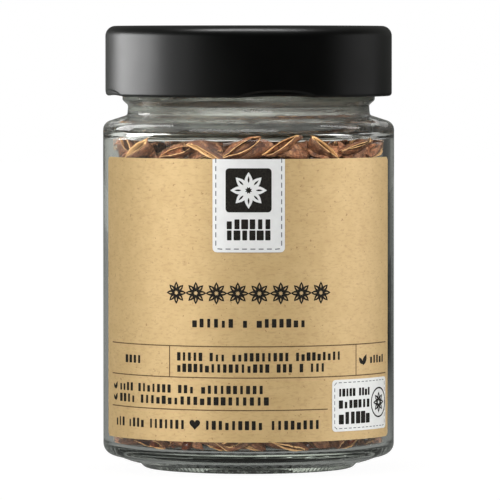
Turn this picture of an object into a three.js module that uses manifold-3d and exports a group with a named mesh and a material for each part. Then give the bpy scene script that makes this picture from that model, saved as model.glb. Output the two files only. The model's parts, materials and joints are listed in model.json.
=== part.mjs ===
// A shut glass jar of star anise: glass body, deep metal twist-off lid with its sealing ring,
// a wrap-round paper label with a white tag and a white sticker, and the heap of pods inside.
// Millimetres, +Z up, the origin at the middle of the foot, the label facing -Y.
import * as THREE from "three";
import { mergeVertices } from "three/addons/utils/BufferGeometryUtils.js";
import Module from "manifold-3d";

const wasm = await Module();
wasm.setup();

// Glass body
const BODY_R = 37.5;
const WALL = 2.6;
const INNER_R = BODY_R - WALL;
const BODY_LOW = 7;
const BODY_TOP = 87.2;
const HEEL_RX = 4.3;
const HEEL_RZ = 4.05;
const FOOT_R = 26.4;
const FOOT_INNER_R = 24.2;
const FOOT_STEP = { r: 28.4, z: 1.65 };
const FOOT_EDGE = { out: 0.9, up: 0.45 };
const PUNT_Z = 1.3;
const PUNT_EDGE = { inwards: 1.6, down: 0.3 };
const FLOOR_Z = 5.7;
const FLOOR_CORNER = 2;
const SHOULDER_R = 2.6;
const SHOULDER_SLOPE_DEG = 15;
const SLOPE_END = { out: 1.5, up: 3.3 };
const NECK_R = 31.05;
const NECK_Z = 92.6;
const NECK_FILLET = { low: 0.4, lowRise: 0.5, high: 0.6, highRise: 1.2 };
const FINISH_R = 32.5;
const FINISH_LOW = 94.9;
const MOUTH_R = 28.9;
const MOUTH_FILLET = { out: 0.9, drop: 1.9 };
const INNER_SHOULDER = { z: 84.7, rx: 3.4, rz: 3.1, toDeg: 62 };
const RIM_TOP = 111.6;
const RIM_R = 1.3;
const GLASS_SIDES = 48;

// Thread ridges on the finish, each with a tail that runs down to a stop
const RIDGE_R = 34.3;
const RIDGE_HIGH = { z: 97.7, height: 1.7 };
const RIDGE_TAIL_DROP = 2.6;
const RIDGE_FROM_DEG = -38;
const RIDGE_TO_DEG = 24;
const RIDGE_BEND_DEG = -8;
const RIDGE_ROOT = 0.6;
const RIDGE_FLANK = { low: 0.3, high: 0.5 };
const RIDGE_TAIL_THIN = 0.9;

// Lid
const LID_R = 36.9;
const LID_TOP = 113.7;
const LID_LOW = 95.7;
const LID_METAL = 0.45;
const LID_CORNER = 2;
const LID_PANEL_R = 29.8;
const LID_PANEL_DROP = 0.8;
const LID_CHANNEL_R = 31.4;
const CURL_R = 0.75;
const LID_SIDES = 48;
const LUG_COUNT = 4;
const LUG_FIRST_DEG = 12;
const LUG_HALF_DEG = 8;
const LUG_INNER_R = 33.3;
const LUG_THICK = 0.9;
const LUG_ROOT_R = 35.9;
const DENT_HALF_DEG = 15;
const DENT_DEPTH = 0.55;
const DENT_RISE = 0.35;
const DENT_TOP = LID_LOW + 2.4;

// Sealing ring
const SEAL = { inner: 28.7, outer: 33, low: RIM_TOP + 0.12, high: RIM_TOP + 0.7 };

// Paper: the label on the glass, the tag and the sticker on the label
const PAPER_GAP = 0.1;
const LABEL = { from: -72.3, to: 70.8, low: 8.8, high: 80.3, thick: 0.12, corner: 1.3 };
const TAG = { from: -13.9, to: 14, low: 56.8, high: 80.3, thick: 0.1, corner: 1.1 };
const STICKER = { from: 34.1, to: 67.7, low: 11.05, high: 24.2, thick: 0.1, corner: 1 };

// Star anise
const HEAP_GAP = 0.3;
const CAVITY_TOP = { inwards: 2.6, up: 1.5 };
const CORE = { r: 28.2, top: 74, crown: 79, corner: 6, low: FLOOR_Z + 0.1, spread: 2 };
const CARPELS = 8;
const CARPEL = { length: 13.4, half: 2, belly: 0.62, keel: 3.2, lip: 2.4, groove: 2, valley: 4.6 };
const POD_HALF_DEPTH = 5;
const POD_REACH = 8.5;
const POD_SIZE = [0.88, 1.06];
const CARPEL_TURN_DEG = 5;
const CARPEL_REACH = [0.8, 1.05];
const ROWS = [18.5, 36, 53.5, 71];
const PODS_PER_ROW = 8;
const BEHIND_LABEL_DEG = 58;
const ROW_TURN_DEG = 5;
const ROW_JITTER = 2;
const MOST_TILT_DEG = 38;
const FACING_OUT_SHARE = 0.7;
const TOP = { pods: 5, ringR: 15.5, z: 76, turnDeg: 9, lean: 0.35, jitter: 1, middleLean: 0.2 };
const LOOSE_RINGS = [
  { count: 22, r: 31, z: 9 },
  { count: 22, r: 31, z: 81.4 },
];
const LOOSE = { turnDeg: 7, inwards: 0.6, rise: 0.7, pitchDeg: 42, root: 0.3 };
const CORE_SIDES = 16;
const SEED = 38;

const UP = new THREE.Vector3(0, 0, 1);
const rad = THREE.MathUtils.degToRad;

// A repeatable random draw: a linear congruential generator
class Dice {
  constructor(seed) {
    this.state = seed >>> 0;
  }

  between(low, high) {
    this.state = (Math.imul(this.state, 1664525) + 1013904223) >>> 0;
    return low + ((high - low) * this.state) / 4294967296;
  }
}

function point(r, z) {
  return new THREE.Vector2(r, z);
}

function arc(centre, rx, rz, fromDeg, toDeg, steps) {
  return Array.from({ length: steps + 1 }, (_, i) => {
    const a = rad(fromDeg + ((toDeg - fromDeg) * i) / steps);
    return point(centre.x + rx * Math.cos(a), centre.y + rz * Math.sin(a));
  });
}

// The point at radius r, height z and an azimuth that turns from the front (-Y) towards +X
function around(r, degrees, z) {
  return new THREE.Vector3(r * Math.sin(rad(degrees)), -r * Math.cos(rad(degrees)), z);
}

function revolved(profile, sides) {
  return new THREE.LatheGeometry(profile, sides).rotateX(Math.PI / 2);
}

// A closed body through rings of equal point counts, with flat ends or single points as ends
function loft(rings) {
  const positions = rings.flat().flatMap((p) => [p.x, p.y, p.z]);
  const starts = rings.map((_, i) => rings.slice(0, i).flat().length);
  const index = [];
  rings.slice(1).forEach((ring, i) => {
    const [a, b] = [starts[i], starts[i + 1]];
    const [na, nb] = [rings[i].length, ring.length];
    const count = Math.max(na, nb);
    for (let k = 0; k < count; k++) {
      const next = (k + 1) % count;
      if (na > 1) index.push(a + k, a + next, b + (nb > 1 ? next : 0));
      if (nb > 1) index.push(a + (na > 1 ? k : 0), b + next, b + k);
    }
  });
  const last = starts[rings.length - 1];
  for (let k = 2; k < rings[0].length; k++) index.push(0, k, k - 1);
  for (let k = 2; k < rings.at(-1).length; k++) index.push(last, last + k - 1, last + k);
  const geometry = new THREE.BufferGeometry();
  geometry.setAttribute("position", new THREE.Float32BufferAttribute(positions, 3));
  return geometry.setIndex(index);
}

function solidOf(geometry) {
  const bare = geometry.index ? geometry.toNonIndexed() : geometry.clone();
  bare.deleteAttribute("normal");
  bare.deleteAttribute("uv");
  const merged = mergeVertices(bare, 1e-4);
  const mesh = new wasm.Mesh({
    numProp: 3,
    vertProperties: merged.attributes.position.array,
    triVerts: new Uint32Array(merged.index.array),
  });
  return new wasm.Manifold(mesh);
}

function geometryOf(solid) {
  const mesh = solid.getMesh();
  const geometry = new THREE.BufferGeometry();
  geometry.setAttribute("position", new THREE.BufferAttribute(mesh.vertProperties, 3));
  geometry.setIndex(new THREE.BufferAttribute(mesh.triVerts, 1));
  geometry.computeVertexNormals();
  return geometry;
}

function glassProfile() {
  const heel = point(BODY_R - HEEL_RX, BODY_LOW);
  const shoulder = point(BODY_R - SHOULDER_R, BODY_TOP);
  const slopeEnd = point(NECK_R + SLOPE_END.out, BODY_TOP + SLOPE_END.up);
  const rim = point(MOUTH_R + RIM_R + 0.5, RIM_TOP - RIM_R);
  const inside = point(INNER_R - FLOOR_CORNER, FLOOR_Z + FLOOR_CORNER);
  const { rx, rz, toDeg } = INNER_SHOULDER;
  const turn = point(INNER_R - rx, INNER_SHOULDER.z);
  return [
    point(0, PUNT_Z),
    point(FOOT_INNER_R - PUNT_EDGE.inwards, PUNT_Z - PUNT_EDGE.down),
    point(FOOT_INNER_R, 0),
    point(FOOT_R, 0),
    point(FOOT_R + FOOT_EDGE.out, FOOT_EDGE.up),
    point(FOOT_STEP.r, FOOT_STEP.z),
    ...arc(heel, HEEL_RX, HEEL_RZ, -84, 0, 4),
    ...arc(shoulder, SHOULDER_R, SHOULDER_R, 0, 90 - SHOULDER_SLOPE_DEG, 3),
    slopeEnd,
    point(NECK_R + NECK_FILLET.low, slopeEnd.y + NECK_FILLET.lowRise),
    point(NECK_R, NECK_Z),
    point(NECK_R + NECK_FILLET.high, NECK_Z + NECK_FILLET.highRise),
    point(FINISH_R, FINISH_LOW),
    ...arc(rim, FINISH_R - rim.x, RIM_R, 0, 90, 2),
    ...arc(rim, rim.x - MOUTH_R, RIM_R, 90, 180, 2).slice(1),
    point(MOUTH_R, NECK_Z - 1),
    point(MOUTH_R + MOUTH_FILLET.out, slopeEnd.y - MOUTH_FILLET.drop),
    ...arc(turn, rx, rz, toDeg, 0, 2),
    ...arc(inside, FLOOR_CORNER, FLOOR_CORNER, 0, -90, 2),
    point(0, FLOOR_Z),
  ];
}

// One thread ridge: a tail that climbs from its stop, then a level run
function ridge(startDeg) {
  const inner = FINISH_R - RIDGE_ROOT;
  const stops = [0, 1 / 3, 2 / 3, 1];
  const run = RIDGE_TO_DEG - RIDGE_BEND_DEG;
  const climb = RIDGE_BEND_DEG - RIDGE_FROM_DEG;
  const places = [
    ...stops.map((t) => ({ at: RIDGE_FROM_DEG + climb * t, drop: RIDGE_TAIL_DROP * (1 - t) })),
    ...stops.slice(1).map((t) => ({ at: RIDGE_BEND_DEG + run * t, drop: 0 })),
  ];
  return loft(
    places.map(({ at, drop }) => {
      const low = RIDGE_HIGH.z - drop;
      const high = low + RIDGE_HIGH.height;
      const out = RIDGE_R - RIDGE_TAIL_THIN * (drop / RIDGE_TAIL_DROP);
      return [
        around(out, startDeg + at, low + RIDGE_FLANK.low),
        around(inner, startDeg + at, low - RIDGE_FLANK.low),
        around(inner, startDeg + at, high),
        around(out, startDeg + at, high - RIDGE_FLANK.high),
      ];
    }),
  );
}

function glassBody() {
  let body = solidOf(revolved(glassProfile(), GLASS_SIDES));
  for (let i = 0; i < LUG_COUNT; i++) body = body.add(solidOf(ridge((360 * i) / LUG_COUNT)));
  return geometryOf(body);
}

// How far a skirt point lies inside the pressed dent over the nearest lug, from 0 to 1
function dentShare(degrees) {
  const pitch = 360 / LUG_COUNT;
  const off = ((((degrees - LUG_FIRST_DEG) % pitch) + pitch * 1.5) % pitch) - pitch / 2;
  return Math.abs(off) < DENT_HALF_DEG ? Math.cos((off / DENT_HALF_DEG) * (Math.PI / 2)) ** 2 : 0;
}

function lidShell() {
  const corner = point(LID_R - LID_CORNER, LID_TOP - LID_CORNER);
  const curl = point(LID_R - CURL_R, LID_LOW + CURL_R);
  const panel = LID_TOP - LID_PANEL_DROP;
  const inner = LID_CORNER - LID_METAL;
  const profile = [
    point(0, panel - LID_METAL),
    point(LID_PANEL_R + 0.3, panel - LID_METAL),
    point(LID_CHANNEL_R + 0.2, LID_TOP - LID_METAL),
    ...arc(corner, inner, inner, 90, 0, 3),
    point(LID_R - LID_METAL, DENT_TOP),
    point(LID_R - LID_METAL - 0.05, LID_LOW + 2 * CURL_R),
    ...arc(curl, CURL_R, CURL_R, 135, 360, 5),
    point(LID_R, DENT_TOP),
    ...arc(corner, LID_CORNER, LID_CORNER, 0, 90, 3),
    point(LID_CHANNEL_R, LID_TOP),
    point(LID_PANEL_R, panel),
    point(0, panel),
  ];
  const shell = revolved(profile, LID_SIDES);
  const place = shell.attributes.position;
  for (let i = 0; i < place.count; i++) {
    const [x, y, z] = [place.getX(i), place.getY(i), place.getZ(i)];
    const r = Math.hypot(x, y);
    if (z < DENT_TOP - 0.1 && r > LUG_INNER_R) {
      const share = dentShare(THREE.MathUtils.radToDeg(Math.atan2(x, -y)));
      const pressed = (r - share * DENT_DEPTH) / r;
      place.setXYZ(i, x * pressed, y * pressed, z + share * DENT_RISE);
    }
  }
  return shell;
}

// The tongue of the curl that is pressed inwards under a thread ridge
function lug(middleDeg) {
  const low = LID_LOW + 0.35;
  return loft(
    [-1, -0.5, 0, 0.5, 1].map((t) => {
      const inner = LUG_INNER_R + 0.6 * t * t;
      const at = middleDeg + t * LUG_HALF_DEG;
      return [
        around(LUG_ROOT_R, at, low),
        around(inner, at, low + 0.2),
        around(inner, at, low + LUG_THICK),
        around(LUG_ROOT_R, at, low + LUG_THICK),
      ];
    }),
  );
}

function lid() {
  let shell = solidOf(lidShell());
  for (let i = 0; i < LUG_COUNT; i++) {
    shell = shell.add(solidOf(lug(LUG_FIRST_DEG + (360 * i) / LUG_COUNT)));
  }
  return geometryOf(shell);
}

function sealingRing() {
  const { inner, outer, low, high } = SEAL;
  return revolved(
    [point(inner, low), point(outer, low), point(outer, high), point(inner, high), point(inner, low)],
    GLASS_SIDES,
  );
}

// The glass body is a polygon: the radius at an azimuth of a polygon of the same sides
function facetR(r, degrees) {
  const step = 360 / GLASS_SIDES;
  const off = (((degrees % step) + step) % step) - step / 2;
  return (r * Math.cos(rad(step / 2))) / Math.cos(rad(off));
}

// A sheet of paper bent round the body, with rounded corners
function wrapped({ from, to, low, high, thick, corner }, gap) {
  const inner = BODY_R + gap;
  const cornerDeg = THREE.MathUtils.radToDeg(corner / inner);
  const step = 360 / GLASS_SIDES;
  const first = Math.ceil((from + cornerDeg) / step + 0.01);
  const last = Math.floor((to - cornerDeg) / step - 0.01);
  const facets = Array.from({ length: last - first + 1 }, (_, i) => (first + i) * step);
  const turns = [0, 0.13, 0.5, 1];
  const columns = [
    ...turns.map((t) => from + cornerDeg * t),
    ...facets,
    ...turns.toReversed().map((t) => to - cornerDeg * t),
  ];
  const cut = (at) => {
    const t = Math.min(at - from, to - at) / cornerDeg;
    return t < 1 ? corner * (1 - Math.sqrt(1 - (1 - t) ** 2)) : 0;
  };
  return loft(
    columns.map((at) => {
      const [r0, r1] = [facetR(inner, at), facetR(inner + thick, at)];
      const [z0, z1] = [low + cut(at), high - cut(at)];
      return [around(r1, at, z0), around(r0, at, z0), around(r0, at, z1), around(r1, at, z1)];
    }),
  );
}

// A pod: a star of boat-shaped carpels round its own Z axis, each with a lip on both sides of an
// open groove, a keel below and a pointed beak, no two alike
function pod(dice) {
  const { length, half, belly, keel, lip, groove, valley } = CARPEL;
  const size = dice.between(...POD_SIZE);
  const positions = [0, 0, 0.4 * size, 0, 0, -keel * 0.7 * size];
  const index = [];
  const put = (turn, x, y, z) => {
    const at = new THREE.Vector3(x, y, z).multiplyScalar(size).applyAxisAngle(UP, turn);
    positions.push(at.x, at.y, at.z);
  };
  for (let i = 0; i < CARPELS; i++) {
    const turn = rad((360 * i) / CARPELS + dice.between(-CARPEL_TURN_DEG, CARPEL_TURN_DEG));
    const reach = length * dice.between(...CARPEL_REACH);
    put(turn, reach, 0, 1.15 * lip);
    put(turn, belly * reach, half, lip);
    put(turn, belly * reach, -half, lip);
    put(turn, belly * reach, 0, lip - groove);
    put(turn, belly * reach, 0, -keel);
    put(rad((360 * (i + 0.5)) / CARPELS), valley, 0, -0.2 * keel);
  }
  for (let i = 0; i < CARPELS; i++) {
    const [tip, left, right, floor, below, after] = [0, 1, 2, 3, 4, 5].map((k) => 2 + 6 * i + k);
    const before = 2 + 6 * ((i + CARPELS - 1) % CARPELS) + 5;
    index.push(0, floor, left, 0, right, floor, left, floor, tip, floor, right, tip);
    index.push(left, tip, below, right, below, tip, left, below, after, right, before, below);
    index.push(below, 1, after, below, before, 1, 0, left, after, 0, before, right);
  }
  const star = new THREE.BufferGeometry();
  star.setAttribute("position", new THREE.Float32BufferAttribute(positions, 3));
  return star.setIndex(index);
}

// A carpel broken off its pod, with its middle at the origin and its beak along +X
function looseCarpel(dice) {
  const { length, half, belly, keel, lip, groove } = CARPEL;
  const size = dice.between(...POD_SIZE);
  const reach = length * dice.between(...CARPEL_REACH);
  const [root, wide, tip] = [-0.5 * reach, (belly - 0.5) * reach, 0.5 * reach];
  const corners = [
    [root, 0, LOOSE.root],
    [tip, 0, 1.15 * lip],
    [wide, half, lip],
    [wide, -half, lip],
    [wide, 0, lip - groove],
    [wide, 0, -keel],
  ];
  const boat = new THREE.BufferGeometry();
  boat.setAttribute("position", new THREE.Float32BufferAttribute(corners.flat(), 3));
  boat.setIndex([0, 4, 2, 0, 3, 4, 2, 4, 1, 4, 3, 1, 2, 1, 5, 3, 5, 1, 0, 2, 5, 0, 5, 3]);
  return boat.scale(size, size, size);
}

// The loose carpels lie against the wall, round the floor and round the top
function looseCarpels(dice) {
  return LOOSE_RINGS.flatMap(({ count, r, z }) =>
    Array.from({ length: count }, (_, i) => {
      const at = (360 * i) / count + dice.between(-LOOSE.turnDeg, LOOSE.turnDeg);
      const radius = r + dice.between(-LOOSE.inwards, LOOSE.inwards);
      const middle = around(radius, at, z + dice.between(-LOOSE.rise, LOOSE.rise));
      const way = rad(at) + (dice.between(0, 1) < 0.5 ? Math.PI : 0);
      const pitch = rad(dice.between(-LOOSE.pitchDeg, LOOSE.pitchDeg));
      const roll = dice.between(0, 2 * Math.PI);
      const turn = new THREE.Quaternion().setFromEuler(new THREE.Euler(roll, pitch, way, "ZYX"));
      return looseCarpel(dice).applyQuaternion(turn).translate(middle.x, middle.y, middle.z);
    }),
  );
}

// Where each pod lies: its middle, and the way that its axis points
function places(dice) {
  const found = [];
  ROWS.forEach((height, row) => {
    for (let i = 0; i < PODS_PER_ROW; i++) {
      const evenly = (360 * (i + 0.5 * (row % 2))) / PODS_PER_ROW;
      const at = evenly + dice.between(-ROW_TURN_DEG, ROW_TURN_DEG);
      const tilt = rad(dice.between(0, MOST_TILT_DEG));
      const towards = dice.between(0, 2 * Math.PI);
      const side = dice.between(0, 1) < FACING_OUT_SHARE ? 1 : -1;
      const z = height + dice.between(-ROW_JITTER, ROW_JITTER);
      const off = Math.abs(((at + 180) % 360) - 180);
      if (off < BEHIND_LABEL_DEG && row > 0 && row < ROWS.length - 1) continue;
      const outward = around(1, at, 0);
      const across = around(1, at + 90, 0);
      const axis = outward
        .clone()
        .multiplyScalar(side * Math.cos(tilt))
        .addScaledVector(across, Math.sin(tilt) * Math.cos(towards))
        .add(new THREE.Vector3(0, 0, Math.sin(tilt) * Math.sin(towards)));
      const r = INNER_R - HEAP_GAP - POD_HALF_DEPTH - POD_REACH * Math.sin(tilt);
      found.push({ middle: around(r, at, z), axis });
    }
  });
  for (let i = 0; i < TOP.pods; i++) {
    const at = (360 * i) / TOP.pods + dice.between(-TOP.turnDeg, TOP.turnDeg);
    const axis = around(dice.between(-TOP.lean, TOP.lean), at, 1).normalize();
    const height = TOP.z + dice.between(-TOP.jitter, TOP.jitter);
    found.push({ middle: around(TOP.ringR, at, height), axis });
  }
  const middleAxis = new THREE.Vector3(TOP.middleLean, 0, 1).normalize();
  found.push({ middle: new THREE.Vector3(0, 0, TOP.z + TOP.jitter), axis: middleAxis });
  return found;
}

// The inside of the jar, kept clear of the glass, as far up as the pods reach
function cavity() {
  const r = INNER_R - HEAP_GAP;
  const floor = FLOOR_Z + HEAP_GAP;
  const inside = point(r - FLOOR_CORNER, floor + FLOOR_CORNER);
  return solidOf(
    revolved(
      [
        point(0, floor),
        ...arc(inside, FLOOR_CORNER, FLOOR_CORNER, -90, 0, 2),
        point(r, INNER_SHOULDER.z - HEAP_GAP),
        point(r - CAVITY_TOP.inwards, INNER_SHOULDER.z + CAVITY_TOP.up),
        point(0, INNER_SHOULDER.z + CAVITY_TOP.up),
      ],
      GLASS_SIDES,
    ),
  );
}

function core() {
  const { r, top, crown, corner, low, spread } = CORE;
  const foot = [point(0, low), point(r + spread, low), point(r, low + corner)];
  const head = [point(r, top - corner), point(r - corner, top), point(0, crown)];
  return solidOf(revolved([...foot, ...head], CORE_SIDES));
}

// The pods fused to the core; a hollow that this seals is filled and a loose scrap dropped
function heap() {
  const dice = new Dice(SEED);
  const solids = [core()];
  for (const { middle, axis } of places(dice)) {
    const turn = new THREE.Quaternion().setFromUnitVectors(UP, axis);
    const spin = new THREE.Quaternion().setFromAxisAngle(UP, dice.between(0, Math.PI));
    const matrix = new THREE.Matrix4().compose(middle, turn.multiply(spin), new THREE.Vector3(1, 1, 1));
    solids.push(solidOf(pod(dice).applyMatrix4(matrix)));
  }
  solids.push(...looseCarpels(dice).map(solidOf));
  const fused = wasm.Manifold.union(solids).intersect(cavity());
  const bodies = fused.decompose().sort((a, b) => b.volume() - a.volume());
  return geometryOf(bodies[0]);
}

function node(name, geometry, colour, roughness, metalness, opacity = 1) {
  const material = new THREE.MeshStandardMaterial({
    color: colour,
    roughness,
    metalness,
    opacity,
    transparent: opacity < 1,
  });
  const mesh = new THREE.Mesh(geometry, material);
  mesh.name = name;
  return mesh;
}

const jar = new THREE.Group();
jar.add(node("jar_glass", glassBody(), 0xb9c0b8, 0.04, 0, 0.35));
jar.add(node("jar_lid", lid(), 0x0c0c0b, 0.38, 0.2));
jar.add(node("lid_seal", sealingRing(), 0xc9c6bd, 0.7, 0));
jar.add(node("label", wrapped(LABEL, PAPER_GAP), 0xcfae7b, 0.85, 0));
const onLabel = PAPER_GAP + LABEL.thick + 0.08;
jar.add(node("label_tag", wrapped(TAG, onLabel), 0xdcdcda, 0.7, 0));
jar.add(node("label_sticker", wrapped(STICKER, onLabel), 0xe6e6e4, 0.7, 0));
jar.add(node("star_anise_heap", heap(), 0x7a4a2c, 0.8, 0));

export default jar;
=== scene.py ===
"""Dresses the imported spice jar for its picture: clear glass, black twist-off lid, paper label and star anise.

Lengths are in millimetres until a mesh is made. An azimuth turns from the front (-Y) towards +X, in degrees.
"""

from __future__ import annotations

import json
import logging
import math
from collections.abc import Callable, Iterable, Sequence
from dataclasses import dataclass, field
from enum import Enum
from typing import Any

import bmesh
import bpy
import numpy as np
from mathutils import Euler, Matrix, Quaternion, Vector, noise
from mathutils.geometry import tessellate_polygon

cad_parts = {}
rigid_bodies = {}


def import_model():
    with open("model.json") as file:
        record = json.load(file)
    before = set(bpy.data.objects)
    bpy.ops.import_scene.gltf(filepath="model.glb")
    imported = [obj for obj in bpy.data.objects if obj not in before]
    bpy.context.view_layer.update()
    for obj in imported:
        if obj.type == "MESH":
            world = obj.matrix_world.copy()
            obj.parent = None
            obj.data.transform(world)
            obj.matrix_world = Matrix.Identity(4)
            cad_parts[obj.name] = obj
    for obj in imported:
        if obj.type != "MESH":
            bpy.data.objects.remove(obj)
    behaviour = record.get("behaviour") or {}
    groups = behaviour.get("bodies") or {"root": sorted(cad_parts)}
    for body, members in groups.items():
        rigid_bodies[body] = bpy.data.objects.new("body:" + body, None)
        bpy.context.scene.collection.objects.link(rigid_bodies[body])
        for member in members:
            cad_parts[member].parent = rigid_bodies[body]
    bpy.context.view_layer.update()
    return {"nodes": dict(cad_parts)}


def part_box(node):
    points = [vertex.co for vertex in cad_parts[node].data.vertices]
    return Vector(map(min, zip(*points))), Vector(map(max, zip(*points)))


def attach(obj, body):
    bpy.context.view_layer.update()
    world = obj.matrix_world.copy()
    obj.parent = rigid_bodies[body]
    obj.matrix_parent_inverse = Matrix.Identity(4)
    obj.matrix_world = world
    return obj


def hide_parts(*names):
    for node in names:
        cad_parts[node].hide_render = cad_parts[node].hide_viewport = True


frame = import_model()

log = logging.getLogger("spice_jar")

MM = 0.001
UP = Vector((0.0, 0.0, 1.0))
Outline = list[tuple[float, float]]
Sides = tuple[float, float, float, float]
Colour = tuple[float, float, float]
Piece = bpy.types.Object
Finish = bpy.types.Material
Socket = bpy.types.NodeSocket


class Slot(str, Enum):
    """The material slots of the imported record."""

    GLASS = "jar_glass"
    LID = "jar_lid"
    SEAL = "lid_seal"
    LABEL = "label"
    TAG = "label_tag"
    STICKER = "label_sticker"
    HEAP = "star_anise_heap"


PIECES: dict[Slot, list[Piece]] = {slot: [] for slot in Slot}


class Edge(Enum):
    """How the faces of a piece meet in the shading."""

    SMOOTH = 180.0
    CREASED = 35.0
    FLAT = 0.0


def srgb(red: int, green: int, blue: int) -> Colour:
    """Turn a colour of 0 to 255 a channel into linear light.

    Args:
        red: The red channel.
        green: The green channel.
        blue: The blue channel.

    Returns:
        The three linear channels, each from 0 to 1.
    """

    def linear(channel: int) -> float:
        """Turn one channel into linear light."""
        share = channel / 255
        return share / 12.92 if share <= 0.04045 else ((share + 0.055) / 1.055) ** 2.4

    return linear(red), linear(green), linear(blue)


def around(radius: float, azimuth: float, height: float) -> Vector:
    """Give the point at a radius, an azimuth and a height.

    Args:
        radius: Distance from the jar's axis.
        azimuth: Degrees from the front towards +X.
        height: Distance above the foot.

    Returns:
        The point as a vector.
    """
    turn = math.radians(azimuth)
    return Vector((radius * math.sin(turn), -radius * math.cos(turn), height))


def in_scene(name: str, data: Any) -> Piece:
    """Make an object of a mesh, a light or a camera and put it in the scene."""
    bpy.context.scene.collection.objects.link(made := bpy.data.objects.new(name, data))
    return made


def make_piece(
    name: str,
    vertices: np.ndarray | Sequence[Sequence[float]],
    faces: Iterable[Sequence[int]],
    edge: Edge = Edge.CREASED,
    lines: Iterable[tuple[int, int]] = (),
) -> Piece:
    """Make a mesh object from vertices in millimetres.

    Args:
        name: The piece's name.
        vertices: Points in millimetres.
        faces: Vertex numbers of each face.
        edge: How its faces are shaded.
        lines: Vertex numbers of each edge that bounds no face.

    Returns:
        The new object, at the origin, with its place in its mesh.
    """
    mesh = bpy.data.meshes.new(name)
    mesh.from_pydata((np.asarray(vertices, float) * MM).tolist(), list(lines), list(faces))
    mesh.validate()
    return shaded(in_scene(name, mesh), edge)


def shaded(piece: Piece, edge: Edge) -> Piece:
    """Set how a piece's faces meet in the shading, and return the piece.

    Args:
        piece: The piece.
        edge: How they meet.

    Returns:
        The same piece.
    """
    mesh = piece.data
    mesh.polygons.foreach_set("use_smooth", [edge is not Edge.FLAT] * len(mesh.polygons))
    if edge is Edge.CREASED:
        mesh.set_sharp_from_angle(angle=math.radians(edge.value))
    mesh.update()
    return piece


def points_of(piece: Piece) -> np.ndarray:
    """Read a piece's vertices as an array in millimetres."""
    flat = np.zeros(len(piece.data.vertices) * 3)
    piece.data.vertices.foreach_get("co", flat)
    return flat.reshape(-1, 3) / MM


def move_points(piece: Piece, points: np.ndarray) -> None:
    """Write a piece's vertices back from an array in millimetres."""
    piece.data.vertices.foreach_set("co", (points * MM).astype(np.float32).ravel())
    piece.data.update()


def note(mesh: bpy.types.Mesh, name: str, kind: str, values: Iterable[float]) -> None:
    """Store a value for each vertex of a mesh.

    Args:
        mesh: The mesh.
        name: The name to store them under.
        kind: The type of the values.
        values: All of them in one row, with the parts of a vector or a turn side by side.
    """
    part = "vector" if kind == "FLOAT_VECTOR" else "value"
    mesh.attributes.new(name, kind, "POINT").data.foreach_set(part, list(values))


def hand_over(piece: Piece, slot: Slot, *nodes: str) -> None:
    """Tell the frame what a finished piece rides on, its slot and the nodes it stands for.

    Args:
        piece: The finished piece.
        slot: The record's slot that it takes its finish from.
        nodes: The CAD nodes that it replaces, if any.
    """
    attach(piece, "root")
    if nodes:
        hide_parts(*nodes)
    PIECES[slot].append(piece)
    log.info("%s: %d faces, slot %s", piece.name, len(piece.data.polygons), slot.value)


def filleted(corners: Sequence[tuple[float, float, float]], step: float = 12.0) -> np.ndarray:
    """Round the corners of an outline with arcs.

    Args:
        corners: Radius, height and fillet radius of each corner.
        step: Degrees between the points of an arc.

    Returns:
        The rounded outline as rows of radius and height.
    """
    found: list[np.ndarray] = []
    for i, (r, z, fillet) in enumerate(corners):
        here = np.array((r, z))
        if fillet <= 0 or i in (0, len(corners) - 1):
            found.append(here)
            continue
        back = np.array(corners[i - 1][:2]) - here
        ahead = np.array(corners[i + 1][:2]) - here
        room = min(np.linalg.norm(back), np.linalg.norm(ahead)) * 0.499
        back /= np.linalg.norm(back)
        ahead /= np.linalg.norm(ahead)
        half = math.acos(np.clip(back @ ahead, -1, 1)) / 2
        if half > math.radians(89):
            found.append(here)
            continue
        reach = min(fillet / math.tan(half), room)
        radius = reach * math.tan(half)
        inward = (back + ahead) / np.linalg.norm(back + ahead)
        centre = here + inward * radius / math.sin(half)
        start, end = here + back * reach - centre, here + ahead * reach - centre
        sweep = math.pi - 2 * half
        turn = math.copysign(sweep, start[0] * end[1] - start[1] * end[0])
        count = max(2, math.ceil(math.degrees(sweep) / step))
        for k in range(count + 1):
            a = turn * k / count
            spin = np.array(((math.cos(a), -math.sin(a)), (math.sin(a), math.cos(a))))
            found.append(centre + spin @ start)
    return np.array(found)


def refined(outline: np.ndarray, low: float, high: float, pitch: float, least: float = 0.0) -> np.ndarray:
    """Add points to the stretches of an outline that lie between two heights.

    Args:
        outline: Rows of radius and height.
        low: The lower height.
        high: The upper height.
        pitch: The longest step that is left there.
        least: The radius within which nothing is added.

    Returns:
        The outline with the points added.
    """
    found = [outline[0]]
    for a, b in zip(outline[:-1], outline[1:]):
        count = max(1, math.ceil(np.linalg.norm(b - a) / pitch))
        between = [a + (b - a) * k / count for k in range(1, count)]
        found += [p for p in between if low < p[1] < high and p[0] > least]
        found.append(b)
    return np.array(found)


def lathe(outline: np.ndarray, sides: int) -> tuple[np.ndarray, list[tuple[int, ...]]]:
    """Revolve an outline that starts and ends on the axis.

    Args:
        outline: Rows of radius and height, with the solid on its left.
        sides: Number of steps round the axis.

    Returns:
        Vertices and faces, which point outwards.
    """
    turns = np.radians(np.arange(sides) * 360 / sides)
    rings = outline[1:-1]
    body = np.stack(
        (
            rings[:, :1] * np.sin(turns),
            -rings[:, :1] * np.cos(turns),
            np.repeat(rings[:, 1:], sides, axis=1),
        ),
        axis=-1,
    ).reshape(-1, 3)
    ends = [(0.0, 0.0, outline[0][1]), (0.0, 0.0, outline[-1][1])]
    first, last = len(body), len(body) + 1
    top = (len(rings) - 1) * sides
    faces: list[tuple[int, ...]] = []
    for j in range(sides):
        k = (j + 1) % sides
        faces.append((first, k, j))
        faces.append((last, top + j, top + k))
        for i in range(0, top, sides):
            faces.append((i + j, i + k, i + sides + k, i + sides + j))
    return np.vstack((body, ends)), faces


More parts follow.
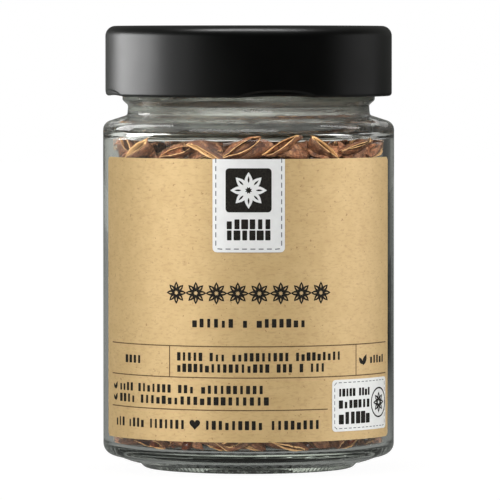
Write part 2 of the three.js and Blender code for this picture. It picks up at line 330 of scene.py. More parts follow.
def azimuths(points: np.ndarray) -> np.ndarray:
    """Give the azimuth of each point, in degrees."""
    return np.degrees(np.arctan2(points[:, 0], -points[:, 1]))


def pushed_out(points: np.ndarray, distance: np.ndarray) -> np.ndarray:
    """Move points away from the axis by a distance each.

    Args:
        points: Rows of x, y and z.
        distance: How far each is moved.

    Returns:
        The moved points.
    """
    radius = np.maximum(np.hypot(points[:, 0], points[:, 1]), 1e-6)
    moved = points.copy()
    moved[:, :2] *= ((radius + distance) / radius)[:, None]
    return moved


def smooth_step(value: np.ndarray) -> np.ndarray:
    """Ease a value from 0 to 1 with no kink at either end."""
    share = np.clip(value, 0, 1)
    return share * share * (3 - 2 * share)


class NodeWork:
    """A node tree that is built in code."""

    def __init__(self, tree: bpy.types.NodeTree) -> None:
        """Take up the tree that the nodes go into."""
        self.tree = tree

    def add(self, kind: str, inputs: dict[Any, Any] | None = None, **settings: Any) -> bpy.types.Node:
        """Add a node, set its properties, and set or link its inputs.

        Args:
            kind: The node's type.
            inputs: Values or sockets for its inputs, by name or number.
            settings: The node's own properties.

        Returns:
            The new node.
        """
        made = self.tree.nodes.new(kind)
        for name, value in settings.items():
            setattr(made, name, value)
        for name, value in (inputs or {}).items():
            socket = made.inputs[name]
            if isinstance(value, Socket):
                self.tree.links.new(value, socket)
            elif socket.type == "RGBA" and len(value) == 3:
                socket.default_value = (*value, 1.0)
            else:
                socket.default_value = value
        return made

    def maths(self, operation: str, *values: Any) -> Socket:
        """Add a math node over sockets or numbers and return its result."""
        return self.add("ShaderNodeMath", dict(enumerate(values)), operation=operation).outputs[0]


class Tree(NodeWork):
    """A geometry node tree that is used once for one object."""

    def __init__(self, name: str) -> None:
        """Start a tree that takes and gives a geometry."""
        super().__init__(bpy.data.node_groups.new(name, "GeometryNodeTree"))
        self.sockets: dict[str, str] = {}
        self.entry = self.tree.nodes.new("NodeGroupInput")
        for way in ("INPUT", "OUTPUT"):
            self.tree.interface.new_socket("Geometry", in_out=way, socket_type="NodeSocketGeometry")

    def input(self, name: str, kind: str) -> Socket:
        """Add a named input and return the socket that carries it inside the tree."""
        made = self.tree.interface.new_socket(name, in_out="INPUT", socket_type="NodeSocket" + kind)
        self.sockets[name] = made.identifier
        return next(s for s in self.entry.outputs if s.identifier == made.identifier)

    def named(self, name: str, kind: str) -> Socket:
        """Read a stored attribute of the geometry."""
        node = self.add("GeometryNodeInputNamedAttribute", {"Name": name}, data_type=kind)
        return next(s for s in node.outputs if s.enabled and s.name == "Attribute")

    def copied(self, points: Socket, shape: Socket, placing: dict[str, Any] | None = None) -> Socket:
        """Put a copy of a shape on each point and return the copies."""
        inputs = {"Points": points, "Instance": shape, **(placing or {})}
        return self.add("GeometryNodeInstanceOnPoints", inputs).outputs[0]

    def finish(self, geometry: Socket) -> None:
        """End the tree: instances become mesh and the finish is set."""
        material = self.input("Finish", "Material")
        real = self.add("GeometryNodeRealizeInstances", {"Geometry": geometry})
        dressed = self.add("GeometryNodeSetMaterial", {"Geometry": real.outputs[0], "Material": material})
        self.add("NodeGroupOutput", {0: dressed.outputs[0]})

    def apply(self, piece: Piece, values: dict[str, Any]) -> Piece:
        """Run the tree on a piece and keep the result as its plain mesh.

        Args:
            piece: The object whose mesh goes in.
            values: A value for each named input.

        Returns:
            The same object with its new mesh and no modifier.
        """
        modifier = piece.modifiers.new(self.tree.name, "NODES")
        modifier.node_group = self.tree
        for name, value in values.items():
            modifier[self.sockets[name]] = value
        piece.update_tag()
        bpy.context.view_layer.update()
        graph = bpy.context.evaluated_depsgraph_get()
        made = bpy.data.meshes.new_from_object(piece.evaluated_get(graph), depsgraph=graph)
        piece.modifiers.clear()
        old = piece.data
        piece.data = made
        made.name = piece.name
        bpy.data.meshes.remove(old)
        return piece


class Stamping(Tree):
    """Puts patterns from a collection on stored points, with a turn, a size and a kind for each."""

    def __init__(self) -> None:
        """Build the tree."""
        super().__init__("stamping")
        patterns = self.input("Patterns", "Collection")
        overall = self.input("Overall size", "Float")
        chosen = self.add(
            "GeometryNodeCollectionInfo",
            {"Collection": patterns, "Separate Children": True, "Reset Children": True},
        )
        size = self.add(
            "ShaderNodeVectorMath",
            {0: self.named("size", "FLOAT_VECTOR"), "Scale": overall},
            operation="SCALE",
        )
        placing = {
            "Pick Instance": True,
            "Instance Index": self.named("kind", "INT"),
            "Rotation": self.named("turn", "QUATERNION"),
            "Scale": size.outputs[0],
        }
        self.finish(self.copied(self.entry.outputs[0], chosen.outputs[0], placing))


class DashedLine(Tree):
    """Lays equal dashes along a drawn path that lies flat."""

    def __init__(self) -> None:
        """Build the tree."""
        super().__init__("dashed line")
        names = ("Pitch", "Dash length", "Dash width", "Dash height")
        pitch, length, width, height = (self.input(name, "Float") for name in names)
        path = self.add("GeometryNodeMeshToCurve", {"Mesh": self.entry.outputs[0]})
        points = self.add(
            "GeometryNodeCurveToPoints",
            {"Curve": path.outputs[0], "Length": pitch},
            mode="LENGTH",
        )
        size = self.add("ShaderNodeCombineXYZ", {0: length, 1: width, 2: height})
        dash = self.add("GeometryNodeMeshCube", {"Size": size.outputs[0], 1: 3, 2: 2, 3: 2})
        facing = self.add(
            "FunctionNodeAlignRotationToVector",
            {"Vector": points.outputs["Tangent"]},
            axis="X",
            pivot_axis="Z",
        )
        self.finish(self.copied(points.outputs[0], dash.outputs[0], {"Rotation": facing.outputs[0]}))


class Ribbing(Tree):
    """Raises even ribs between two heights of a body turned about Z, outwards, downwards or both."""

    flat_share = 0.1
    least_divisor = 1e-4

    def __init__(self) -> None:
        """Build the tree."""
        super().__init__("ribbing")
        count, depth = self.input("Rib count", "Float"), self.input("Rib depth", "Float")
        low, high = self.input("Lowest height", "Float"), self.input("Highest height", "Float")
        inner, fall = self.input("Least radius", "Float"), self.input("Share downwards", "Float")
        maths = self.maths
        place = self.add("GeometryNodeInputPosition").outputs[0]
        x, y, z = self.add("ShaderNodeSeparateXYZ", {0: place}).outputs
        radius = maths("SQRT", maths("ADD", maths("MULTIPLY", x, x), maths("MULTIPLY", y, y)))
        wave = maths("COSINE", maths("MULTIPLY", maths("ARCTAN2", y, x), count))
        rise = maths("MAXIMUM", maths("SUBTRACT", wave, self.flat_share), 0.0)
        half = maths("MULTIPLY", maths("SUBTRACT", high, low), 0.5)
        off = maths("ABSOLUTE", maths("SUBTRACT", z, maths("ADD", low, half)))
        inside = maths("MAXIMUM", maths("SUBTRACT", 1.0, maths("DIVIDE", off, half)), 0.0)
        amount = maths("MULTIPLY", maths("MULTIPLY", rise, maths("POWER", inside, 0.5)), depth)
        reached = maths("MULTIPLY", amount, maths("GREATER_THAN", radius, inner))
        outwards = maths("MULTIPLY", reached, maths("SUBTRACT", 1.0, fall))
        share = maths("DIVIDE", outwards, maths("MAXIMUM", radius, self.least_divisor))
        drop = maths("MULTIPLY", maths("MULTIPLY", reached, fall), -1.0)
        moved = self.add(
            "ShaderNodeCombineXYZ",
            {0: maths("MULTIPLY", x, share), 1: maths("MULTIPLY", y, share), 2: drop},
        )
        ribbed = self.add(
            "GeometryNodeSetPosition",
            {"Geometry": self.entry.outputs[0], "Offset": moved.outputs[0]},
        )
        self.finish(ribbed.outputs[0])


class Rosette(Tree):
    """Sets equal petals in a ring at each point of a drawn row."""

    def __init__(self) -> None:
        """Build the tree."""
        super().__init__("rosette")
        petal = self.input("Petal", "Object")
        count = self.input("Petal count", "Int")
        size = self.input("Petal size", "Float")
        shape = self.add("GeometryNodeObjectInfo", {"Object": petal})
        ring = self.add("GeometryNodeMeshCircle", {"Vertices": count, "Radius": 1e-5}, fill_type="NONE")
        turn = self.add(
            "FunctionNodeAlignRotationToVector",
            {"Vector": self.add("GeometryNodeInputPosition").outputs[0]},
            axis="X",
            pivot_axis="Z",
        )
        turned = {"Rotation": turn.outputs[0], "Scale": size}
        star = self.copied(ring.outputs[0], shape.outputs["Geometry"], turned)
        self.finish(self.copied(self.entry.outputs[0], star))


class Wiring(NodeWork):
    """The shader nodes of one finish."""

    def __init__(self, name: str) -> None:
        """Start an empty material with its output node."""
        self.material = bpy.data.materials.new(name)
        self.material.use_nodes = True
        super().__init__(self.material.node_tree)
        self.tree.nodes.clear()
        self.out = self.add("ShaderNodeOutputMaterial")
        self.place = self.add("ShaderNodeTexCoord").outputs["Object"]

    def stretched(self, x: float, y: float, z: float, place: Socket | None = None) -> Socket:
        """Scale the object's own coordinates, or others that are given."""
        return self.add("ShaderNodeMapping", {"Vector": place or self.place, "Scale": (x, y, z)}).outputs[0]

    def grain(self, scale: float, detail: float = 4, rough: float = 0.6, place: Any = None) -> Socket:
        """Add a noise texture and return its value."""
        inputs = {"Vector": place or self.place, "Scale": scale, "Detail": detail, "Roughness": rough}
        return self.add("ShaderNodeTexNoise", inputs).outputs[0]

    def span(self, value: Socket, low: float, high: float, to_low: float = 0, to_high: float = 1) -> Socket:
        """Map a range of a value to another range."""
        inputs = {"Value": value, "From Min": low, "From Max": high, "To Min": to_low, "To Max": to_high}
        return self.add("ShaderNodeMapRange", inputs).outputs[0]

    def mix(self, share: Any, first: Any, second: Any, blend: str = "MIX") -> Socket:
        """Blend two colours by a share."""
        inputs = {0: share, 6: first, 7: second}
        return self.add("ShaderNodeMix", inputs, data_type="RGBA", blend_type=blend).outputs[2]

    def bump(self, height: Socket, distance: float, strength: float, under: Any = None) -> Socket:
        """Raise a surface by a height, over another bump if one is given."""
        inputs = {"Height": height, "Distance": distance, "Strength": strength}
        return self.add("ShaderNodeBump", inputs | ({"Normal": under} if under else {})).outputs[0]

    def surface(self, **inputs: Any) -> bpy.types.Node:
        """Add the principled shader, join it to the output, and return it."""
        named = {}
        for name, value in inputs.items():
            named[name.replace("_", " ").title().replace("Ior", "IOR")] = value
        made = self.add("ShaderNodeBsdfPrincipled", named)
        self.tree.links.new(made.outputs[0], self.out.inputs[0])
        return made

    def attribute(self, name: str, part: str) -> Socket:
        """Read a part of a value that is stored in the mesh."""
        return self.add("ShaderNodeAttribute", attribute_name=name).outputs[part]


@dataclass(frozen=True)
class ClearGlass:
    """Cheap flint glass: a faint grey-green body, a rippled skin, streaks in the neck and a stippled foot."""

    tint: Colour = srgb(226, 231, 224)
    density: float = 26.0
    ripple: float = 0.05
    streak: float = 0.3
    haze: float = 0.45
    milk: Colour = (0.95, 1.0, 0.89)
    shoulder: tuple[float, float] = (84.5 * MM, 88.0 * MM)
    foot: tuple[float, float] = (0.7 * MM, 1.5 * MM)

    def make(self) -> Finish:
        """Build the material."""
        wiring = Wiring("clear glass")
        wave = wiring.grain(90, 2, 0.5, wiring.stretched(1, 1, 0.35))
        rings = wiring.grain(170, 4, 0.62, wiring.stretched(0.2, 0.2, 2.8))
        height = wiring.add("ShaderNodeSeparateXYZ", {0: wiring.place}).outputs[2]
        upper = wiring.span(height, *self.shoulder)
        mould = wiring.maths("MULTIPLY", rings, upper)
        skin = wiring.bump(mould, 0.5 * MM, self.streak, wiring.bump(wave, 0.4 * MM, self.ripple))
        stipple = wiring.span(height, *self.foot, 1.0, 0.0)
        speckle = wiring.span(wiring.grain(900, 3, 0.6), 0.4, 0.65)
        foot = wiring.maths("MULTIPLY", speckle, stipple)
        neck = wiring.span(mould, 0.38, 0.66)
        milky = wiring.maths("MAXIMUM", neck, foot)
        clear = wiring.span(milky, 0.0, 1.0, 1.0, 1.0 - self.haze)
        wiring.surface(
            base_color=wiring.mix(milky, (1.0, 1.0, 1.0), self.milk),
            roughness=0.0,
            ior=1.51,
            transmission_weight=clear,
            normal=skin,
        )
        body = wiring.add("ShaderNodeVolumeAbsorption", {"Color": self.tint, "Density": self.density})
        wiring.tree.links.new(body.outputs[0], wiring.out.inputs["Volume"])
        return wiring.material


@dataclass(frozen=True)
class LidEnamel:
    """Satin black lacquer on tinplate, with the fine upright grain of the drawn skirt."""

    colour: Colour = srgb(6, 6, 5)
    roughness: float = 0.36

    def make(self) -> Finish:
        """Build the material."""
        wiring = Wiring("black lid enamel")
        streaks = wiring.grain(2600, 3, 0.6, wiring.stretched(1, 1, 0.09))
        orange_peel = wiring.grain(1500, 2, 0.5)
        skin = wiring.bump(streaks, 0.02 * MM, 0.25, wiring.bump(orange_peel, 0.02 * MM, 0.2))
        gloss = wiring.span(wiring.grain(60, 3), 0.3, 0.7, self.roughness - 0.03, self.roughness + 0.04)
        wiring.surface(base_color=self.colour, roughness=gloss, specular_ior_level=0.5, normal=skin)
        return wiring.material


@dataclass(frozen=True)
class KraftPaper:
    """Brown kraft paper with cloudy pulp, fine fibres and dark flecks."""

    colour: Colour = srgb(194, 164, 114)
    pale: Colour = srgb(203, 174, 124)
    dark: Colour = srgb(174, 142, 96)
    fleck: Colour = srgb(140, 104, 62)
    lustre: float = 0.3
    roughness: float = 0.5

    def make(self) -> Finish:
        """Build the material."""
        wiring = Wiring("kraft paper")
        cloud = wiring.span(wiring.grain(260, 5, 0.65), 0.34, 0.68)
        pulp = wiring.mix(cloud, self.colour, self.pale)
        level = wiring.grain(1900, 3, 0.6, wiring.stretched(0.35, 0.35, 1))
        fibre = wiring.span(level, 0.5, 0.72, 0, 0.6)
        threads = wiring.mix(fibre, pulp, self.dark)
        speck = wiring.span(wiring.grain(1250, 2, 0.4), 0.69, 0.76, 0, 0.75)
        specked = wiring.mix(speck, threads, self.fleck)
        skin = wiring.bump(level, 0.03 * MM, 0.35, wiring.bump(cloud, 0.05 * MM, 0.2))
        wiring.surface(base_color=specked, metallic=self.lustre, roughness=self.roughness, normal=skin)
        return wiring.material


@dataclass(frozen=True)
class CoatedPaper:
    """White label paper with a faint tooth."""

    name: str
    colour: Colour
    shade: Colour
    lustre: float = 0.3
    roughness: float = 0.5

    def make(self) -> Finish:
        """Build the material."""
        wiring = Wiring(self.name)
        cloud = wiring.span(wiring.grain(420, 5, 0.7), 0.35, 0.65)
        tooth = wiring.grain(3000, 3, 0.6)
        skin = wiring.bump(tooth, 0.02 * MM, 0.3)
        tone = wiring.mix(cloud, self.colour, self.shade)
        wiring.surface(base_color=tone, metallic=self.lustre, roughness=self.roughness, normal=skin)
        return wiring.material


@dataclass(frozen=True)
class PrintInk:
    """Matt printing ink that the paper shows through a little."""

    name: str
    colour: Colour
    worn: Colour

    def make(self) -> Finish:
        """Build the material."""
        wiring = Wiring(self.name)
        thin = wiring.span(wiring.grain(2200, 4, 0.7), 0.42, 0.75, 0, 0.8)
        tone = wiring.mix(thin, self.colour, self.worn)
        wiring.surface(base_color=tone, roughness=0.75, specular_ior_level=0.12)
        return wiring.material


@dataclass(frozen=True)
class Husk:
    """The woody skin of a carpel: rust brown, wrinkled lengthwise with painted shade in the furrows, with a tan
    lip and a smoother inside.
    """

    deep: Colour = srgb(66, 40, 26)
    rust: Colour = srgb(152, 94, 58)
    bloom: Colour = srgb(208, 156, 112)
    lip: Colour = srgb(232, 184, 124)
    hollow: Colour = srgb(134, 88, 52)

    def make(self) -> Finish:
        """Build the material."""
        wiring = Wiring("star anise husk")
        tint, edge = (wiring.attribute(name, "Fac") for name in ("tint", "lip"))
        along = wiring.stretched(0.32, 1.0, 1.0, wiring.attribute("own_place", "Vector"))
        broad = wiring.grain(240, 4, 0.65)
        fine = wiring.grain(1000, 6, 0.75, along)
        elsewhere = wiring.add(
            "ShaderNodeVectorMath",
            {0: wiring.place, 1: (7.0, 3.0, 5.0)},
            operation="ADD",
        ).outputs[0]
        pits = wiring.grain(1500, 3, 0.7, elsewhere)
        wrinkle = wiring.add(
            "ShaderNodeTexVoronoi",
            {"Vector": along, "Scale": 760.0, "Randomness": 1.0},
            feature="DISTANCE_TO_EDGE",
        ).outputs[0]
        skin = wiring.mix(wiring.span(broad, 0.36, 0.62), self.deep, self.rust)
        dusty = wiring.mix(wiring.span(fine, 0.47, 0.66, 0, 0.8), skin, self.bloom)
        pitted = wiring.mix(wiring.span(pits, 0.5, 0.36, 0, 0.7), dusty, self.deep)
        # The wrinkles' furrows, which are the low edges of the bump below, are darkened towards the deep
        # colour: painted shade in the creases.
        furrow_shaded = wiring.mix(wiring.span(wrinkle, 0.1, 0.0, 0, 0.55), pitted, self.deep)
        own = wiring.mix(tint, (0.5, 0.48, 0.48), (1.2, 1.18, 1.16))
        toned = wiring.mix(1.0, furrow_shaded, own, "MULTIPLY")
        lined = wiring.mix(wiring.span(edge, 0.2, 0.55), toned, wiring.mix(fine, self.deep, self.hollow))
        lipped = wiring.mix(wiring.span(edge, 0.68, 0.86), lined, self.lip)
        relief = wiring.bump(fine, 0.3 * MM, 0.8, wiring.bump(wrinkle, 0.3 * MM, 0.6))
        wiring.surface(base_color=lipped, roughness=0.62, specular_ior_level=0.45, normal=relief)
        return wiring.material


@dataclass(frozen=True)
class SeedShell:
    """The glossy chestnut shell of a seed."""

    colour: Colour = srgb(118, 56, 22)
    dark: Colour = srgb(66, 28, 12)

    def make(self) -> Finish:
        """Build the material."""
        wiring = Wiring("star anise seed")
        tone = wiring.mix(wiring.span(wiring.grain(260, 3), 0.35, 0.65), self.dark, self.colour)
        wiring.surface(base_color=tone, roughness=0.22, specular_ior_level=0.6)
        return wiring.material


@dataclass(frozen=True)
class RawPart:
    """A plain rough finish with a grain, for what lies deep or out of sight."""

    name: str
    colour: Colour
    dark: Colour
    roughness: float = 0.8

    def make(self) -> Finish:
        """Build the material."""
        wiring = Wiring(self.name)
        level = wiring.grain(500, 5, 0.7)
        tone = wiring.mix(wiring.span(level, 0.35, 0.65), self.dark, self.colour)
        skin = wiring.bump(level, 0.5 * MM, 0.6)
        wiring.surface(base_color=tone, roughness=self.roughness, normal=skin)
        return wiring.material


@dataclass(frozen=True)
class RibBand:
    """A band of even ribs round the glass, which stand out, hang down or share out between the two."""

    count: int
    depth: float
    low: float
    high: float
    inner: float
    downwards: float


@dataclass(frozen=True)
class ThreadRidge:
    """A slanting ridge that a lug of the lid catches under. Its run is in degrees."""

    before: float = 38.0
    after: float = 26.0
    slope_end: float = -8.0
    slope_run: float = 30.0
    fall: float = 2.6
    level: float = 98.5
    rise: float = 2.0
    thinning: float = 0.35
    half_width: float = 1.15
    flank: float = 0.75
    fade: float = 2.5


@dataclass
class GlassJar:
    """The moulded glass body: foot, heel, wall, shoulder, neck and screw finish."""

    sides: int = 432
    foot_radius: float = 26.7
    floor: float = 5.7
    floor_corner: float = 1.6
    wall: float = 2.6
    neck_radius: float = 31.05
    finish_radius: float = 32.3
    mouth_radius: float = 28.9
    finish_low: float = 94.0
    finish_high: float = 101.0
    shoulder_low: float = 82.0
    neck_low: float = 88.5
    neck_high: float = 97.5
    ridge_count: int = 4
    ridge: ThreadRidge = ThreadRidge()
    bands: tuple[RibBand, ...] = (
        RibBand(70, 0.35, 1.5, 2.7, 28.3, 1.0),
        RibBand(140, 0.22, -0.2, 1.3, 25.4, 0.0),
    )

    def __post_init__(self) -> None:
        """Take the overall sizes from the frame."""
        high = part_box("jar_glass")[1]
        self.radius = high.x / MM
        self.height = high.z / MM
        self.bore = self.radius - self.wall

    def inner_outline(self) -> list[tuple[float, float, float]]:
        """Give the corners of the inside, from the mouth down to the middle of the floor."""
        return [
            (self.mouth_radius, 88.5, 1.8),
            (self.bore, 86.6, 2.8),
            (self.bore, self.floor, self.floor_corner),
            (self.bore - 12, self.floor, 6.0),
            (0.0, self.floor + 0.9, 0.0),
        ]

    def outline(self) -> np.ndarray:
        """Give the whole section of the glass, from the middle of the foot to the inside of the floor."""
        r, neck, finish = self.radius, self.neck_radius, self.finish_radius
        corners = [
            (0.0, 1.9, 0.0),
            (14.0, 1.6, 10.0),
            (self.foot_radius - 3.6, 1.1, 1.6),
            (self.foot_radius - 2.2, 0.0, 0.6),
            (self.foot_radius, 0.0, 0.7),
            (self.foot_radius + 1.5, 1.48, 0.4),
            (r, 3.86, 3.1),
            (r, 88.75, 2.5),
            (neck + 0.2, 90.75, 0.7),
            (neck, 93.3, 0.8),
            (finish + 0.2, 94.6, 0.8),
            (finish + 0.2, 97.2, 0.5),
            (finish - 0.3, 97.8, 0.3),
            (finish - 0.3, 110.2, 0.3),
            (finish - 0.2, self.height, 1.4),
            (self.mouth_radius, self.height, 1.5),
        ]
        section = filleted(corners + self.inner_outline(), 9.0)
        ridged = refined(section, self.finish_low, self.finish_high, 0.22, self.mouth_radius + 1)
        return refined(ridged, -0.1, 3.2, 0.35, self.foot_radius - 3)

    def ridges(self, points: np.ndarray) -> np.ndarray:
        """Give how far the thread ridges stand out at each point of the finish.

        Args:
            points: The glass's vertices.

        Returns:
            The extra radius of each point.
        """
        ridge, pitch = self.ridge, 360 / self.ridge_count
        run = np.mod(azimuths(points) + ridge.before, pitch) - ridge.before
        drop = np.clip((ridge.slope_end - run) / ridge.slope_run, 0, 1) * ridge.fall
        height = points[:, 2]
        off = np.abs(height - (ridge.level - drop))
        ends = smooth_step((run + ridge.before) / ridge.fade) * smooth_step((ridge.after - run) / ridge.fade)
        flank = smooth_step((ridge.half_width - off) / ridge.flank)
        rise = (ridge.rise - ridge.thinning * drop) * flank * ends
        outside = np.hypot(points[:, 0], points[:, 1]) > self.finish_radius - 0.8
        return np.where(outside & (height > self.finish_low) & (height < self.finish_high), rise, 0)

    def waviness(self, points: np.ndarray) -> np.ndarray:
        """Give the slight unevenness of the blown inside and of the moulded neck.

        Args:
            points: The glass's vertices.

        Returns:
            The extra radius of each point.
        """
        found = np.zeros(len(points))
        for i, (x, y, z) in enumerate(points):
            radius = math.hypot(x, y)
            inside = 5 < radius < self.bore + 0.3 and z > self.floor - 1.2
            neck = self.neck_low < z < self.neck_high
            if inside or neck:
                high = z > self.shoulder_low
                spot = Vector((x * 0.05, y * 0.05, z * (0.42 if neck or high else 0.07)))
                amount = 0.08 if inside and high else 0.05
                found[i] = amount * noise.noise(spot + Vector((3.1, 0.4, 7.7)))
        return found

    def build(self) -> None:
        """Make the glass body, dress it and hand it over."""
        points, faces = lathe(self.outline(), self.sides)
        points = pushed_out(points, self.ridges(points) + self.waviness(points))
        glass = ClearGlass().make()
        body = make_piece("glass_body", points, faces, Edge.SMOOTH)
        for band in self.bands:
            Ribbing().apply(
                body,
                {
                    "Rib count": float(band.count),
                    "Rib depth": band.depth * MM,
                    "Lowest height": band.low * MM,
                    "Highest height": band.high * MM,
                    "Least radius": band.inner * MM,
                    "Share downwards": band.downwards,
                    "Finish": glass,
                },
            )
        hand_over(shaded(body, Edge.SMOOTH), Slot.GLASS, "jar_glass")


@dataclass
class TwistLid:
    """The deep lid: a drawn cup with a curled rim, four lugs and a pressed arch over each."""

    sides: int = 360
    metal: float = 0.3
    corner: float = 2.6
    panel_radius: float = 29.8
    panel_drop: float = 0.8
    channel_radius: float = 31.4
    curl: float = 0.75
    lugs: int = 4
    first_lug: float = 12.0
    lug_half_angle: float = 8.0
    lug_reach: float = 2.2
    arch_half_angle: float = 15.5
    arch_height: float = 2.0
    arch_depth: float = 0.5
    arch_rise: float = 0.35

    def __post_init__(self) -> None:
        """Take the overall sizes from the frame."""
        low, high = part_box("jar_lid")
        self.radius = high.x / MM
        self.low = low.z / MM
        self.high = high.z / MM

    def outline(self) -> np.ndarray:
        """Give the section of the lid, from the middle of its underside to the middle of its top."""
        r, t, tube = self.radius, self.metal, 2 * self.curl
        panel = self.high - self.panel_drop
        corners = [
            (0.0, panel - t, 0.0),
            (self.panel_radius + t, panel - t, 0.5),
            (self.channel_radius + t, self.high - t, 0.5),
            (r - t, self.high - t, self.corner - t),
            (r - t, self.low + tube + 0.3, 0.3),
            (r - tube + 0.2, self.low + tube, 0.5),
            (r - tube, self.low, self.curl),
            (r, self.low, self.curl),
            (r, self.high, self.corner),
            (self.channel_radius, self.high, 0.8),
            (self.panel_radius, panel, 0.8),
            (0.0, panel, 0.0),
        ]
        return refined(filleted(corners, 8.0), self.low - 0.1, self.low + self.arch_height + 1.4, 0.16)

    def from_lug(self, points: np.ndarray) -> np.ndarray:
        """Give the azimuth of each point, counted from the middle of the nearest lug."""
        pitch = 360 / self.lugs
        return np.mod(azimuths(points) - self.first_lug + pitch / 2, pitch) - pitch / 2

    def pressed(self, points: np.ndarray) -> np.ndarray:
        """Press the arches into the skirt and bend the lugs inwards.

        Args:
            points: The turned lid's vertices.

        Returns:
            The vertices of the pressed lid.
        """
        off = np.abs(self.from_lug(points))
        radius = np.hypot(points[:, 0], points[:, 1])
        height = points[:, 2] - self.low
        bow = np.clip(1 - (off / self.arch_half_angle) ** 2, 0, 1)
        arch = self.arch_height * np.sqrt(bow)
        skirt = radius > self.radius - 2 * self.curl - 0.2
        dent = smooth_step((arch - height) / 0.55) * (skirt & (height < 4))
        tongue = smooth_step((self.lug_half_angle - off) / 1.2 + 0.5)
        inner = np.clip((self.radius - self.curl - radius) / self.curl, 0, 1) * (height < 2 * self.curl)
        moved = pushed_out(points, -self.arch_depth * dent - self.lug_reach * tongue * inner * skirt)
        moved[:, 2] += self.arch_rise * bow * np.clip(1 - height / 1.5, 0, 1) * skirt
        return moved

    def build(self) -> None:
        """Make the lid, dress it inside and out with the sealing ring, and hand it over."""
        points, faces = lathe(self.outline(), self.sides)
        lid = make_piece("twist_lid", self.pressed(points), faces, Edge.CREASED)
        lacquer = RawPart("pale lacquer", srgb(216, 214, 207), srgb(206, 204, 197), 0.45)
        for finish in (LidEnamel(), lacquer):
            lid.data.materials.append(finish.make())
        curled, panel = (self.low + 2 * self.curl) * MM, (self.high - 3.0) * MM
        for face in lid.data.polygons:
            inwards = face.normal.xy.dot(face.center.xy) < 0 and face.normal.z < 0.5
            under = face.center.z > panel and face.normal.z < -0.5
            face.material_index = int(face.center.z > curled and (inwards or under))
        hand_over(lid, Slot.LID, "jar_lid")
        compound = RawPart("sealing compound", srgb(206, 203, 194), srgb(190, 187, 178), 0.6)
        seal = frame["nodes"]["lid_seal"].data
        seal.materials.clear()
        seal.materials.append(compound.make())


@dataclass(frozen=True)
class Sheet:
    """A rectangle of paper bent round the jar, measured on its own outer face."""

    radius: float
    thickness: float
    left: float
    right: float
    low: float
    high: float

    @classmethod
    def on(cls, node: str, radius: float, thickness: float) -> Sheet:
        """Take a sheet's place from its CAD node.

        Args:
            node: The CAD node that it stands for.
            radius: The radius of its inner face.
            thickness: How thick the paper is.

        Returns:
            The sheet, with its sides as lengths along the bent paper.
        """
        points = points_of(frame["nodes"][node])
        turns = azimuths(points)
        outer = radius + thickness
        left, right = (math.radians(a) * outer for a in (turns.min(), turns.max()))
        return cls(outer, thickness, left, right, points[:, 2].min(), points[:, 2].max())


def rounded_box(sides: Sides, corner: float) -> Outline:
    """Draw a rectangle with round corners, anticlockwise.

    Args:
        sides: Its left, right, lower and upper side.
        corner: The radius of its corners.

    Returns:
        Its outline.
    """
    left, right, low, high = sides
    found: Outline = []
    spots = ((right, high, 0), (left, high, 90), (left, low, 180), (right, low, 270))
    for x, y, start in spots:
        cx = x - math.copysign(corner, x - (left + right) / 2)
        cy = y - math.copysign(corner, y - (low + high) / 2)
        for k in range(5):
            a = math.radians(start + k * 22.5)
            found.append((cx + corner * math.cos(a), cy + corner * math.sin(a)))
    return found


def rounded_foot(sides: Sides, corner: float) -> Outline:
    """Draw a rectangle with round corners at its foot, from its upper left corner to its upper right one.

    Args:
        sides: Its left, right, lower and upper side.
        corner: The radius of its corners.

    Returns:
        Its outline, open at the top.
    """
    left, right, low, high = sides
    loop = [p for p in rounded_box(sides, corner) if p[1] < (low + high) / 2]
    middle = (left + right) / 2
    feet = [p for p in loop if p[0] < middle] + [p for p in loop if p[0] > middle]
    return [(left, high), *feet, (right, high)]


def finely(corners: Outline, pitch: float) -> Outline:
    """Add points to an open path so that none is further than a pitch from the next.

    Args:
        corners: The path.
        pitch: The longest step that is left.

    Returns:
        The path with the points added.
    """
    fine: Outline = []
    for (x0, y0), (x1, y1) in zip(corners, corners[1:]):
        steps = max(1, math.ceil(math.hypot(x1 - x0, y1 - y0) / pitch))
        fine += [(x0 + (x1 - x0) * k / steps, y0 + (y1 - y0) * k / steps) for k in range(steps)]
    return fine + [corners[-1]]


def oval(x: float, y: float, rx: float, ry: float, count: int = 40) -> Outline:
    """Draw an ellipse, anticlockwise."""
    turns = (2 * math.pi * k / count for k in range(count))
    return [(x + rx * math.cos(a), y + ry * math.sin(a)) for a in turns]


def blade(x: float, y: float, length: float, width: float, tilt: float, count: int = 12) -> Outline:
    """Draw a pointed leaf from its foot at x, y, leaning by a tilt in degrees.

    Args:
        x: Its foot's place across.
        y: Its foot's place upwards.
        length: From foot to tip.
        width: At its widest.
        tilt: Degrees from +X.
        count: Steps along it.

    Returns:
        Its outline.
    """
    shares = [k / count for k in range(count + 1)]
    side = [(length * share, width / 2 * math.sin(math.pi * share**0.85)) for share in shares]
    loop = [(u, -v) for u, v in side] + [(u, v) for u, v in reversed(side[1:-1])]
    c, s = math.cos(math.radians(tilt)), math.sin(math.radians(tilt))
    return [(x + u * c - v * s, y + u * s + v * c) for u, v in loop]


def heart(x: float, y: float, width: float, count: int = 36) -> Outline:
    """Draw a heart about x, y.

    Args:
        x: Its middle's place across.
        y: Its middle's place upwards.
        width: How wide it is.
        count: Steps round it.

    Returns:
        Its outline.
    """
    found: Outline = []
    for k in range(count):
        a = -2 * math.pi * k / count
        u = 16 * math.sin(a) ** 3
        v = 13 * math.cos(a) - 5 * math.cos(2 * a) - 2 * math.cos(3 * a) - math.cos(4 * a)
        found.append((x + u * width / 32, y + v * width / 32))
    return found


